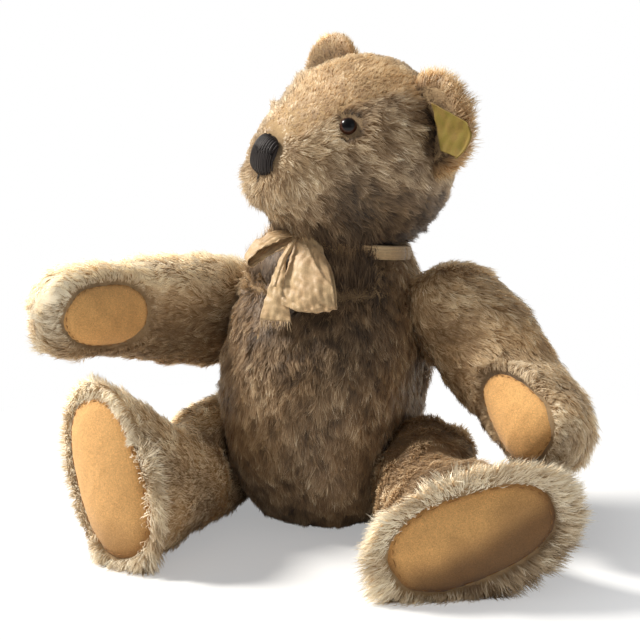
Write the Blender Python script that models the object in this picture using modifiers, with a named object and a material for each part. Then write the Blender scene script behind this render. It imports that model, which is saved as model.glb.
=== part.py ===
"""A threadbare mohair teddy bear with disc joints, seated as in its photograph."""
import math

import bmesh
import bpy
from mathutils import Matrix, Vector

MM = 0.001

# Whole bear
GAP = 0.0003
PLUSH_WALL = 0.0065
FLAT_SHARE = 0.55

# Joint hardware
DISC_THICK = 0.0025
LIMB_DISC_RADIUS = 0.0170
NECK_DISC_RADIUS = 0.0220
PIN_RADIUS = 0.0015
PIN_HOLE_RADIUS = 0.0022
PIN_HEAD_RADIUS = 0.0042
PIN_HEAD_THICK = 0.0012
PIN_BENT = 0.0052
WASHER_RADIUS = 0.0060
WASHER_THICK = 0.0010

# Felt pads
PAD_THICK = 0.0022
PAD_SINK = 0.0022
PAW_PAD_LONG = 0.0285
PAW_PAD_WIDE = 0.0195
SOLE_PAD_LONG = 0.0475
SOLE_PAD_WIDE = 0.0255

# Face
EYE_RADIUS = 0.0052
EYE_SHANK_RADIUS = 0.0007
EYE_SHANK_LONG = 0.0100
NOSE_HALF = (0.0105, 0.0080, 0.0125)
EAR_WIDE = 0.0255
EAR_TALL = 0.0250
EAR_THICK = 0.0090

# Ribbon and tag
RIBBON_THICK = 0.0012
BAND_TALL = 0.0085
BAND_BELOW = 0.0030
BAND_LOOSE = 0.0010
BAND_STEPS = 20
BAND_THICK = 0.0016
TAG_THICK = 0.0009

# Torso outline from the seat up: height, half width, half depth, forward shift, in mm
TORSO = (
    (0, 29, 28, -4),
    (5, 36.5, 37, -5),
    (20, 46, 48.5, -7),
    (45, 54.5, 59, -8),
    (75, 60.5, 63, -6),
    (100, 61, 61.5, -2),
    (125, 57.5, 56, 4),
    (145, 50.5, 49, 9),
    (160, 41.5, 41, 13),
    (170, 34, 33, 15),
    (178, 22, 22, 16),
)

# Head outline from the back forward: distance, half width, half height, drop, in mm
HEAD = (
    (-57, 0, 0, -3),
    (-54, 18, 18, -3),
    (-43.5, 37.5, 37, -3),
    (-27, 51, 50, -2.5),
    (-7, 58, 57.5, -1.5),
    (14, 57, 56, 0),
    (30, 51, 50.5, 4),
    (42, 43, 42.5, 7),
    (51.5, 34.5, 34.5, 10),
    (60, 27.5, 27, 13),
    (67.5, 20, 20, 15),
    (71.5, 9.5, 9.5, 16),
    (73, 0, 0, 16),
)

# Arm outline from the shoulder down: distance, half thickness, half width, lift, in mm
ARM = (
    (0, 0, 0, 0),
    (4, 13, 16, 0),
    (14, 23, 28, 0),
    (34, 29, 33, 0),
    (58, 29, 33, 0),
    (84, 28, 31, 0),
    (110, 24, 27, 0),
    (132, 23, 26.5, 0),
    (148, 20.5, 24.5, 0),
    (159, 14, 18, 0),
    (165, 0, 0, 0),
)

# Leg outline from the hip down: distance, half thickness, half width, lift, in mm
LEG = (
    (0, 0, 0, 0),
    (4, 15, 18, 0),
    (14, 24, 27, 0),
    (34, 28, 31, 0),
    (62, 28, 31, 0),
    (90, 26, 29, -1),
    (113, 26, 31, 3),
    (134, 28, 39, 9),
    (150, 29.5, 47, 13),
    (162, 30, 51, 14),
    (165.5, 28, 49, 14),
    (167, 0, 0, 14),
)

# Joints: place of the disc on the torso and the way it faces
SHOULDER_PLACE = (57, 6, 120)
SHOULDER_FACING = (0.94, 0.18, 0.26)
HIP_PLACE = (46, -14, 37)
HIP_FACING = (0.985, 0.0, -0.17)
NECK_PLACE = (3, 16, 170)
NECK_FACING = (0.02, 0.15, 0.99)

# Limb middles in the seated pose, from the joint end outward, in mm
LEFT_ARM = ((62, 26, 150), (78, 16, 128), (107, 1, 106), (139, -22, 83), (164, -42, 62))
RIGHT_ARM = ((-69, 34, 114), (-86, 4, 119), (-102, -40, 126), (-118, -82, 132), (-130, -119, 135))
LEFT_LEG = ((63, 20, 36), (69, -14, 34), (83, -48, 32.5), (103, -85, 31), (124, -118, 30))
RIGHT_LEG = ((-63, 20, 36), (-68, -14, 34), (-63, -56, 32.5), (-60, -101, 33), (-68, -144, 37))

# Turn of the foot or paw about its limb from the joint to the tip, in degrees
LEFT_ARM_TURN = (0, -60)
RIGHT_ARM_TURN = (0, 12)
LEFT_LEG_TURN = (0, -60)
RIGHT_LEG_TURN = (0, 12)

# Head pose
HEAD_PLACE = (11, 21, 220)
HEAD_YAW = -28
HEAD_ROLL = 12
HEAD_NOD = -12


# Face and dressing places, in mm
EYE_AT = {1: ((31, 43.5, 21), (0.64, 0.62, 0.46)), -1: ((-31, 43.5, 21), (-0.64, 0.62, 0.46))}
NOSE_AT = (0, -69.5, -10)
EAR_AT = (50, -4, 34)
EAR_OUT = 34
EAR_ROUND = -6
EAR_LEAN = 6
PAW_PAD_SHARE = 0.78
CHIN_ROOM = 0.0012
CHIN_SWEEP = (-36, -24, -12, 0, 12, 24, 36)
KNOT_HALF = (0.0085, 0.0060, 0.0070)
KNOT_AT = (-6, -27, 171)
BOW_SHEETS = (
    (
        ((-7, -28, 175), (-7, -28, 172)),
        ((-16, -36, 175), (-13, -38, 169)),
        ((-27, -43, 168), (-19, -46, 163)),
        ((-32, -49, 161), (-27, -51, 156)),
    ),
    (
        ((-7, -28, 172), (-5, -29, 170)),
        ((-14, -36, 167), (-12, -35, 163)),
        ((-21, -41, 160), (-19, -41, 157)),
        ((-29, -49, 155), (-27, -48, 152)),
    ),
    (
        ((-8, -31, 172), (-3, -30, 174), (2, -26, 172)),
        ((-7, -39, 163), (3, -39, 165), (11, -32, 164)),
        ((-6, -47, 149), (8, -46, 149), (18, -37, 149)),
        ((-7, -55, 134), (10, -52, 133), (23, -43, 132)),
    ),
    (
        ((-10, -29, 168), (-5, -28, 168)),
        ((-15, -38, 156), (-6, -35, 156)),
        ((-17, -48, 141), (-5, -43, 141)),
        ((-19, -57, 123), (-2, -50, 121)),
    ),
)
TAG_POINTS = (
    ((65, -3, 255), (97, -20, 244)),
    ((70, -6, 238), (96, -20, 236)),
    ((73, -8, 228), (88, -17, 225)),
)


def clear_scene():
    """Take out whatever the scene holds."""
    for obj in list(bpy.data.objects):
        bpy.data.objects.remove(obj, do_unlink=True)


def material(name, colour, roughness):
    """A plain surface of one colour."""
    mat = bpy.data.materials.new(name)
    mat.use_nodes = True
    shader = mat.node_tree.nodes["Principled BSDF"]
    shader.inputs["Base Color"].default_value = (*colour, 1.0)
    shader.inputs["Roughness"].default_value = roughness
    return mat


def show(name, mesh, mat):
    """Put a mesh in the scene as one named piece."""
    obj = bpy.data.objects.new(name, mesh)
    mesh.name = name
    bpy.context.scene.collection.objects.link(obj)
    mesh.materials.clear()
    mesh.materials.append(mat)
    return obj


def settled(obj):
    """The mesh of an object with its modifiers done and its placing kept in its points."""
    bpy.context.view_layer.update()
    graph = bpy.context.evaluated_depsgraph_get()
    mesh = bpy.data.meshes.new_from_object(obj.evaluated_get(graph))
    mesh.transform(obj.matrix_world)
    return mesh


def combine(body, tool, how):
    """Cut, join or keep the shared part of two closed meshes."""
    first = bpy.data.objects.new("body", body)
    second = bpy.data.objects.new("tool", tool)
    for obj in (first, second):
        bpy.context.scene.collection.objects.link(obj)
    step = first.modifiers.new("shape", "BOOLEAN")
    step.operation = how
    step.solver = "EXACT"
    step.object = second
    mesh = settled(first)
    for obj in (first, second):
        bpy.data.objects.remove(obj, do_unlink=True)
    return mesh


def cut(body, tool):
    """Take one closed mesh out of another."""
    return combine(body, tool, "DIFFERENCE")


def joined(body, tool):
    """Two closed meshes as one."""
    return combine(body, tool, "UNION")


def shared(body, tool):
    """What two closed meshes have in common."""
    return combine(body, tool, "INTERSECT")


def largest(mesh):
    """Keep only the largest body of a mesh, such as after a trim."""
    form = bmesh.new()
    form.from_mesh(mesh)
    left = set(form.verts)
    bodies = []
    while left:
        found = [left.pop()]
        body = list(found)
        while found:
            vert = found.pop()
            for edge in vert.link_edges:
                other = edge.other_vert(vert)
                if other in left:
                    left.discard(other)
                    found.append(other)
                    body.append(other)
        bodies.append(body)
    bodies.sort(key=len)
    for body in bodies[:-1]:
        bmesh.ops.delete(form, geom=body, context="VERTS")
    form.to_mesh(mesh)
    form.free()
    return mesh


def smooth_between(rows, where):
    """Read a table of numbers at a place along its first column, smoothly."""
    last = len(rows) - 1
    index = 0
    while index < last - 1 and rows[index + 1][0] < where:
        index += 1
    low, high = rows[index], rows[index + 1]
    before = rows[max(index - 1, 0)]
    after = rows[min(index + 2, last)]
    span = high[0] - low[0]
    part = (where - low[0]) / span
    values = []
    for k in range(1, len(low)):
        start = (high[k] - before[k]) / max(high[0] - before[0], 1e-9) * span
        end = (after[k] - low[k]) / max(after[0] - low[0], 1e-9) * span
        if index == 0:
            start = 1.6 * (high[k] - low[k])
        if index == last - 1:
            end = 1.6 * (high[k] - low[k])
        square = part * part
        cube = square * part
        value = (2 * cube - 3 * square + 1) * low[k] + (cube - 2 * square + part) * start
        value += (3 * square - 2 * cube) * high[k] + (cube - square) * end
        values.append(value)
    return values


def stations(rows, finer):
    """Places along a table: its own rows, or more rows between them."""
    places = []
    for low, high in zip(rows, rows[1:]):
        for step in range(finer):
            places.append(low[0] + (high[0] - low[0]) * step / finer)
    places.append(rows[-1][0])
    return places


def skin_over(rings):
    """A closed mesh over rings of points; a ring of one point is a closed end."""
    form = bmesh.new()
    made = [[form.verts.new(point) for point in ring] for ring in rings]
    for low, high in zip(made, made[1:]):
        count = max(len(low), len(high))
        for k in range(count):
            after = (k + 1) % count
            corners = [low[k % len(low)], low[after % len(low)]]
            corners += [high[after % len(high)], high[k % len(high)]]
            form.faces.new(list(dict.fromkeys(corners)))
    if len(made[0]) > 1:
        form.faces.new(made[0])
    if len(made[-1]) > 1:
        form.faces.new(list(reversed(made[-1])))
    bmesh.ops.recalc_face_normals(form, faces=form.faces)
    bmesh.ops.triangulate(form, faces=form.faces)
    mesh = bpy.data.meshes.new("skin")
    form.to_mesh(mesh)
    form.free()
    return mesh


def shrunk(mesh, distance):
    """The same closed mesh with every point moved inward."""
    form = bmesh.new()
    form.from_mesh(mesh)
    form.normal_update()
    moves = [(vert, vert.normal * distance) for vert in form.verts]
    for vert, move in moves:
        vert.co -= move
    smaller = bpy.data.meshes.new("shrunk")
    form.to_mesh(smaller)
    form.free()
    return smaller


def held_flat(points, planes):
    """Press points that stand past a plane back onto it."""
    for point in points:
        for place, facing in planes:
            past = (point - place).dot(facing)
            if past > 0:
                point -= facing * past
    return points


def ring(middle, across, along, wide, deep, count, square=2.3):
    """A rounded ring of points about a middle."""
    points = []
    for k in range(count):
        turn = 2 * math.pi * k / count
        c, s = math.cos(turn), math.sin(turn)
        x = math.copysign(abs(c) ** (2 / square), c) * wide
        y = math.copysign(abs(s) ** (2 / square), s) * deep
        points.append(middle + across * x + along * y)
    return points


def plane(place, facing, back=0.0):
    """A plane given by a point in mm and a facing, set back by a distance."""
    facing = Vector(facing).normalized()
    return Vector(place) * MM - facing * back, facing


def mirrored(values):
    """The same place or facing on the other side of the bear."""
    return (-values[0], values[1], values[2])


def joint_planes(back):
    """The five flats that the joint discs press on the torso."""
    found = [plane(NECK_PLACE, NECK_FACING, back)]
    for place, facing in ((SHOULDER_PLACE, SHOULDER_FACING), (HIP_PLACE, HIP_FACING)):
        found.append(plane(place, facing, back))
        found.append(plane(mirrored(place), mirrored(facing), back))
    return found


def torso_form(inset, finer, count):
    """The torso as a barrel with flats at the seat, neck, shoulders and hips."""
    top = TORSO[-1][0]
    rings = []
    for height in stations(TORSO, finer):
        wide, deep, shift = smooth_between(TORSO, height)
        level = height * MM
        level = inset + level * (top * MM - 2 * inset) / (top * MM)
        middle = Vector((0, shift * MM, level))
        across = (wide * MM - inset, deep * MM - inset)
        points = ring(middle, Vector((1, 0, 0)), Vector((0, 1, 0)), *across, count)
        rings.append(held_flat(points, joint_planes(inset)))
    return skin_over(rings)


def head_matrix():
    """Where the head sits and which way it looks."""
    turn = Matrix.Rotation(math.radians(HEAD_YAW), 4, "Z")
    turn = turn @ Matrix.Rotation(math.radians(HEAD_ROLL), 4, "Y")
    turn = turn @ Matrix.Rotation(math.radians(HEAD_NOD), 4, "X")
    return Matrix.Translation(Vector(HEAD_PLACE) * MM) @ turn


def head_form(inset, finer, count):
    """The head with its short muzzle, flat where it meets the torso."""
    place = head_matrix()
    first, last = HEAD[0][0], HEAD[-1][0]
    neck = plane(NECK_PLACE, NECK_FACING, -GAP - inset)
    rings = []
    for along in stations(HEAD, finer):
        wide, tall, drop = smooth_between(HEAD, along)
        share = (along - first) / (last - first)
        forward = (first + share * (last - first)) * MM
        forward += inset * (1 - 2 * share)
        middle = Vector((0, -forward, -drop * MM))
        if along in (first, last):
            rings.append([place @ middle])
            continue
        size = (max(wide * MM - inset, 0.003), max(tall * MM - inset, 0.003))
        points = ring(middle, Vector((1, 0, 0)), Vector((0, 0, 1)), *size, count, 2.15)
        points = [place @ point for point in points]
        rings.append(held_flat(points, [(neck[0], -neck[1])]))
    return skin_over(rings)


def spine_point(spine, share):
    """A point along a limb's middle, and the way the limb runs there."""
    rows = [(k / (len(spine) - 1), *point) for k, point in enumerate(spine)]
    here = Vector(smooth_line(rows, share))
    ahead = Vector(smooth_line(rows, min(share + 0.01, 1.0)))
    behind = Vector(smooth_line(rows, max(share - 0.01, 0.0)))
    return here * MM, (ahead - behind).normalized()


def smooth_line(rows, where):
    """Read a line of points smoothly, with straight ends."""
    last = len(rows) - 1
    index = min(int(where * last), last - 1)
    low, high = rows[index], rows[index + 1]
    before = rows[max(index - 1, 0)]
    after = rows[min(index + 2, last)]
    part = where * last - index
    values = []
    for k in range(1, len(low)):
        start = high[k] - before[k] if index == 0 else (high[k] - before[k]) / 2
        end = after[k] - low[k] if index == last - 1 else (after[k] - low[k]) / 2
        square = part * part
        cube = square * part
        value = (2 * cube - 3 * square + 1) * low[k] + (cube - 2 * square + part) * start
        value += (3 * square - 2 * cube) * high[k] + (cube - square) * end
        values.append(value)
    return values


def limb_axes(spine, share, facing, turn):
    """Middle, run, thickness way and width way of a limb at one place."""
    middle, run = spine_point(spine, share)
    outward = Vector(facing).normalized()
    thick = (outward - run * outward.dot(run)).normalized()
    angle = math.radians(turn[0] + (turn[1] - turn[0]) * min(max((share - 0.2) / 0.65, 0), 1))
    thick = Matrix.Rotation(angle, 3, run) @ thick
    return middle, run, thick, run.cross(thick)


def limb_form(table, limb, inset, finer, count):
    """An arm or leg as a loft along its middle, flat where its disc is."""
    spine, turn, place, facing, up = limb
    long = table[-1][0]
    flat = plane(place, facing, -GAP - inset)
    rings = []
    for along in stations(table, finer):
        thick_half, wide_half, lift = smooth_between(table, along)
        share = (inset + along * MM * (long * MM - 2 * inset) / (long * MM)) / (long * MM)
        middle, run, thick, wide = limb_axes(spine, share, facing, turn)
        wide = wide * up
        middle = middle + wide * lift * MM
        if along in (0, long):
            rings.append([middle])
            continue
        size = (max(thick_half * MM - inset, 0.002), max(wide_half * MM - inset, 0.002))
        points = ring(middle, thick, wide, *size, count)
        if share < FLAT_SHARE:
            held_flat(points, [(flat[0], -flat[1])])
        rings.append(points)
    return skin_over(rings)


def rod(radius, low, high, place, facing, sides):
    """A round rod between two distances along a line."""
    form = bmesh.new()
    bmesh.ops.create_cone(
        form, cap_ends=True, segments=sides, radius1=radius, radius2=radius, depth=high - low
    )
    facing = Vector(facing).normalized()
    turn = facing.to_track_quat("Z", "Y").to_matrix().to_4x4()
    middle = Vector(place) + facing * (low + high) / 2
    bmesh.ops.transform(form, matrix=Matrix.Translation(middle) @ turn, verts=form.verts)
    mesh = bpy.data.meshes.new("rod")
    form.to_mesh(mesh)
    form.free()
    return mesh


def ball(half, matrix, sides, rows):
    """A ball or egg with its own half sizes."""
    form = bmesh.new()
    bmesh.ops.create_uvsphere(form, u_segments=sides, v_segments=rows, radius=1.0)
    bmesh.ops.transform(form, matrix=matrix @ Matrix.Diagonal((*half, 1.0)), verts=form.verts)
    mesh = bpy.data.meshes.new("ball")
    form.to_mesh(mesh)
    form.free()
    return mesh


def prism(outline, middle, across, along, facing, low, high):
    """A straight prism over a flat outline."""
    rings = []
    for level in (low, high):
        rings.append([middle + across * x + along * y + facing * level for x, y in outline])
    return skin_over(rings)


def egg(long, wide, pointed, count):
    """An egg outline, narrower toward its far end."""
    points = []
    for k in range(count):
        turn = 2 * math.pi * k / count
        y = math.cos(turn) * long
        x = math.sin(turn) * wide * (1 - pointed * math.cos(turn))
        points.append((x, y))
    return points


def disc_room(radius, place, facing, low):
    """The room a disc, its washer and the pin's end take inside a body."""
    room = rod(radius + GAP, low, GAP * 3 + DISC_THICK, place, facing, 14)
    deep = GAP * 5 + DISC_THICK + WASHER_THICK + PIN_HEAD_THICK + 0.0005
    return joined(room, rod(WASHER_RADIUS + GAP, low, deep, place, facing, 8))


def ring_plate(radius, hole, low, high, place, facing, sides):
    """A flat round plate with a hole."""
    plate = rod(radius, low, high, place, facing, sides)
    return cut(plate, rod(hole, low - 0.001, high + 0.001, place, facing, 6))


def cotter(place, facing, reach_in, reach_out):
    """A pin with a round head and two ends bent apart over the washer."""
    pin = rod(PIN_RADIUS, -reach_in - 0.0006, reach_out + 0.0004, place, facing, 8)
    head = rod(PIN_HEAD_RADIUS, reach_out, reach_out + PIN_HEAD_THICK, place, facing, 8)
    pin = joined(pin, head)
    facing = Vector(facing).normalized()
    side = facing.orthogonal().normalized()
    other = facing.cross(side)
    outline = [(-PIN_BENT, -0.0011), (PIN_BENT, -0.0011), (PIN_BENT, 0.0011), (-PIN_BENT, 0.0011)]
    bent = prism(outline, Vector(place), side, other, facing, -reach_in - 0.0012, -reach_in)
    pin = joined(pin, bent)
    return pin


def joint_hardware(name, radius, place, facing, colours):
    """Two discs, two washers and the pin of one joint."""
    place = Vector(place) * MM
    facing = Vector(facing).normalized()
    board, steel = colours
    inner = PLUSH_WALL + GAP
    plate_in = (-inner - DISC_THICK, -inner)
    plate_out = (inner + GAP, inner + GAP + DISC_THICK)
    washer_in = (plate_in[0] - GAP - WASHER_THICK, plate_in[0] - GAP)
    washer_out = (plate_out[1] + GAP, plate_out[1] + GAP + WASHER_THICK)
    hole = PIN_RADIUS + GAP
    show(f"{name}_disc_in", ring_plate(radius, hole, *plate_in, place, facing, 14), board)
    show(f"{name}_disc_out", ring_plate(radius, hole, *plate_out, place, facing, 14), board)
    show(f"{name}_washer_in", ring_plate(WASHER_RADIUS, hole, *washer_in, place, facing, 8), steel)
    show(f"{name}_washer_out", ring_plate(WASHER_RADIUS, hole, *washer_out, place, facing, 8), steel)
    pin = cotter(place, facing, -washer_in[0] + GAP, washer_out[1] + GAP)
    show(f"{name}_pin", pin, steel)


def opened(mesh, place, facing):
    """Make the pin's hole through a plush wall."""
    place = Vector(place) * MM
    return cut(mesh, rod(PIN_HOLE_RADIUS, -0.012, 0.012, place, facing, 6))


def stuffed(skin, fill, radius, place, facing):
    """Make room in a plush and its stuffing for what a joint holds inside them."""
    facing = Vector(facing).normalized()
    start = Vector(place) * MM + facing * PLUSH_WALL
    skin = cut(skin, disc_room(radius, start, facing, GAP / 2))
    fill = cut(fill, disc_room(radius, start, facing, -0.004))
    return skin, fill


def make_torso(mats):
    """The torso's plush and its stuffing."""
    hollow = torso_form(PLUSH_WALL, 1, 10)
    fill = shrunk(hollow, GAP * 1.3)
    skin = cut(torso_form(0.0, 2, 18), hollow)
    sockets = [(NECK_PLACE, NECK_FACING, NECK_DISC_RADIUS)]
    for side in (1, -1):
        for place, facing in ((SHOULDER_PLACE, SHOULDER_FACING), (HIP_PLACE, HIP_FACING)):
            if side < 0:
                place, facing = mirrored(place), mirrored(facing)
            sockets.append((place, facing, LIMB_DISC_RADIUS))
    for place, facing, radius in sockets:
        skin = opened(skin, place, facing)
        skin, fill = stuffed(skin, fill, radius, place, [-v for v in facing])
    show("torso_plush", skin, mats["plush"])
    show("torso_stuffing", fill, mats["stuffing"])


def face_point(across, forward, up):
    """A place on the head given in its own directions, in mm."""
    return head_matrix() @ Vector((across * MM, -forward * MM, up * MM))


def head_way(across, forward, up):
    """A direction given in the head's own directions."""
    return (head_matrix().to_3x3() @ Vector((across, -forward, up))).normalized()


def make_head(mats):
    """The head's plush and stuffing, its eyes, nose and ears."""
    hollow = head_form(PLUSH_WALL, 1, 12)
    fill = shrunk(hollow, GAP * 1.3)
    skin = cut(head_form(0.0, 2, 18), hollow)
    skin = opened(skin, NECK_PLACE, NECK_FACING)
    skin, fill = stuffed(skin, fill, NECK_DISC_RADIUS, NECK_PLACE, NECK_FACING)
    for side, name in ((1, "left"), (-1, "right")):
        place, facing = EYE_AT[side]
        at = Matrix.Translation(face_point(*place))
        way = head_way(*facing)
        room = EYE_RADIUS + GAP
        skin = cut(skin, ball((room, room, room), at, 10, 6))
        shank = (-EYE_RADIUS - EYE_SHANK_LONG, -EYE_RADIUS * 0.5)
        where = face_point(*place)
        hole = EYE_SHANK_RADIUS + GAP
        drilled = rod(hole, shank[0] - GAP, shank[1], where, way, 8)
        skin = cut(skin, drilled.copy())
        fill = cut(fill, ball((room, room, room), at, 10, 6))
        fill = cut(fill, drilled)
        eye = ball((EYE_RADIUS, EYE_RADIUS, EYE_RADIUS), at, 10, 6)
        eye = joined(eye, rod(EYE_SHANK_RADIUS, *shank, where, way, 8))
        show(f"eye_{name}", eye, mats["glass"])
    bigger = head_form(-GAP, 2, 18)
    nose = ball(NOSE_HALF, head_matrix() @ Matrix.Translation(Vector(NOSE_AT) * MM), 12, 8)
    show("nose", cut(nose, bigger.copy()), mats["thread"])
    for side, name in ((1, "left"), (-1, "right")):
        show(f"ear_{name}", cut(ear_form(side), bigger.copy()), mats["plush"])
    show("head_plush", skin, mats["plush"])
    show("head_stuffing", fill, mats["stuffing"])


def ear_matrix(side):
    """Where an ear stands on the head and how it is turned."""
    place = Matrix.Translation(Vector((side * EAR_AT[0], -EAR_AT[1], EAR_AT[2])) * MM)
    turn = Matrix.Rotation(math.radians(side * EAR_OUT), 4, "Y")
    turn = turn @ Matrix.Rotation(math.radians(-side * EAR_ROUND), 4, "Z")
    turn = turn @ Matrix.Rotation(math.radians(EAR_LEAN), 4, "X")
    return head_matrix() @ place @ turn


def ear_form(side, more=0.0):
    """A cupped round ear, or one a little fuller all round."""
    at = ear_matrix(side)
    body = ball((EAR_WIDE + more, EAR_THICK + more, EAR_TALL + more), at, 12, 8)
    hollow = (EAR_WIDE * 0.78 - more, EAR_THICK * 0.95 - more, EAR_TALL * 0.80 - more)
    sunk = Matrix.Translation(Vector((0, -EAR_THICK * 0.95, -EAR_TALL * 0.08)))
    return cut(body, ball(hollow, at @ sunk, 10, 7))


def make_limb(name, table, limb, pad, mats, pad_name):
    """An arm or leg: plush, stuffing and its felt pad."""
    place, facing = limb[2], limb[3]
    outer = limb_form(table, limb, 0.0, 2, 14)
    hollow = limb_form(table, limb, PLUSH_WALL, 1, 10)
    fill = shrunk(hollow, GAP * 1.3)
    skin = cut(outer.copy(), hollow)
    skin = opened(skin, place, facing)
    skin, fill = stuffed(skin, fill, LIMB_DISC_RADIUS, place, facing)
    if table is ARM:
        room, felt = curved_pad(outer, pad)
    else:
        room, felt = flat_pad(pad)
    skin = cut(skin, room)
    show(f"{name}_plush", skin, mats["plush"])
    show(f"{name}_stuffing", fill, mats["stuffing"])
    show(pad_name, felt, mats["felt"])


def curved_pad(outer, pad):
    """A felt pad that follows the round of its paw, and the room it lies in."""
    middle, across, along, way, long, wide, pointed = pad
    low, high = -0.018, 0.020
    room = prism(egg(long, wide, pointed, 20), middle, across, along, way, low, high)
    room = cut(room, shrunk(outer, PAD_SINK + PAD_THICK + GAP))
    piece = prism(egg(long - GAP, wide - GAP, pointed, 20), middle, across, along, way, low, high)
    felt = shared(shrunk(outer, PAD_SINK), piece)
    return room, cut(felt, shrunk(outer, PAD_SINK + PAD_THICK))


def flat_pad(pad):
    """A flat felt sole, and the room it lies in."""
    middle, across, along, way, long, wide, pointed = pad
    low = -PAD_SINK - PAD_THICK
    room = prism(egg(long, wide, pointed, 24), middle, across, along, way, low - GAP, 0.020)
    piece = egg(long - GAP, wide - GAP, pointed, 24)
    return room, prism(piece, middle, across, along, way, low, -PAD_SINK)


def paw_pad(limb):
    """Where a paw's pad lies on the inner side of its arm."""
    spine, turn, _, facing, up = limb
    middle, run, thick, wide = limb_axes(spine, PAW_PAD_SHARE, facing, turn)
    half = smooth_between(ARM, PAW_PAD_SHARE * ARM[-1][0])[0] * MM
    middle = middle - thick * (half - 0.0045)
    return middle, wide * up, -run, -thick, PAW_PAD_LONG, PAW_PAD_WIDE, 0.22


def sole_pad(limb):
    """Where the sole's pad lies on the end of its leg."""
    spine, turn, _, facing, up = limb
    middle, run, thick, wide = limb_axes(spine, 1.0, facing, turn)
    wide = wide * up
    lift = LEG[-1][3] * MM
    return middle + wide * lift, thick, wide, run, SOLE_PAD_LONG, SOLE_PAD_WIDE, 0.06


def sheet(points, thick):
    """A thin closed sheet over a grid of points."""
    rows, columns = len(points), len(points[0])
    mesh = bpy.data.meshes.new("sheet")
    flat = [point for row in points for point in row]
    faces = []
    for r in range(rows - 1):
        for c in range(columns - 1):
            low = r * columns + c
            faces.append((low, low + 1, low + columns + 1, low + columns))
    mesh.from_pydata([Vector(p) * MM for p in flat], [], faces)
    obj = bpy.data.objects.new("sheet", mesh)
    bpy.context.scene.collection.objects.link(obj)
    step = obj.modifiers.new("thick", "SOLIDIFY")
    step.thickness = thick
    step.offset = 0.0
    made = settled(obj)
    bpy.data.objects.remove(obj, do_unlink=True)
    return made


def band_form():
    """The ribbon's turn round the neck, level with the slope of the neck."""
    rings = []
    slope = NECK_FACING[1] / NECK_FACING[2]
    for step in range(BAND_STEPS):
        turn = 2 * math.pi * step / BAND_STEPS
        points = []
        for out, drop in ((0, BAND_TALL), (BAND_THICK, BAND_TALL), (BAND_THICK, 0), (0, 0)):
            below = BAND_BELOW + BAND_TALL
            wide, deep, shift = smooth_between(TORSO, NECK_PLACE[2] - below * 1000)
            x = math.cos(turn) * (wide * MM + BAND_LOOSE + out)
            y = math.sin(turn) * (deep * MM + BAND_LOOSE + out)
            height = NECK_PLACE[2] * MM - BAND_BELOW - drop - slope * y
            points.append(Vector((x, y + shift * MM, height)))
        rings.append(points)
    form = bmesh.new()
    made = [[form.verts.new(point) for point in points] for points in rings]
    for k, here in enumerate(made):
        after = made[(k + 1) % len(made)]
        for j in range(4):
            form.faces.new((here[j], after[j], after[(j + 1) % 4], here[(j + 1) % 4]))
    bmesh.ops.recalc_face_normals(form, faces=form.faces)
    mesh = bpy.data.meshes.new("band")
    form.to_mesh(mesh)
    form.free()
    return mesh


def turned_head(degrees):
    """The head a little fuller, turned on its neck: where the bow must leave it room."""
    mesh = head_form(-CHIN_ROOM, 1, 16)
    place, facing = plane(NECK_PLACE, NECK_FACING)
    turn = Matrix.Rotation(math.radians(degrees), 4, facing)
    mesh.transform(Matrix.Translation(place) @ turn @ Matrix.Translation(-place))
    return mesh


def make_ribbon(mats):
    """The ribbon: its turn round the neck, its knot, loop and tails."""
    whole = band_form()
    knot = Matrix.Translation(Vector(KNOT_AT) * MM)
    whole = joined(whole, ball(KNOT_HALF, knot, 10, 6))
    for points in BOW_SHEETS:
        whole = joined(whole, sheet(points, RIBBON_THICK))
    whole = cut(whole, torso_form(-GAP, 2, 18))
    for degrees in CHIN_SWEEP:
        whole = cut(whole, turned_head(degrees))
    show("ribbon", largest(whole), mats["silk"])


def make_tag(mats):
    """The blank cloth tag sewn in the ear."""
    tag = cut(sheet(TAG_POINTS, TAG_THICK), ear_form(1, GAP))
    show("ear_tag", largest(cut(tag, head_form(-GAP, 2, 18))), mats["cloth"])


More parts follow.
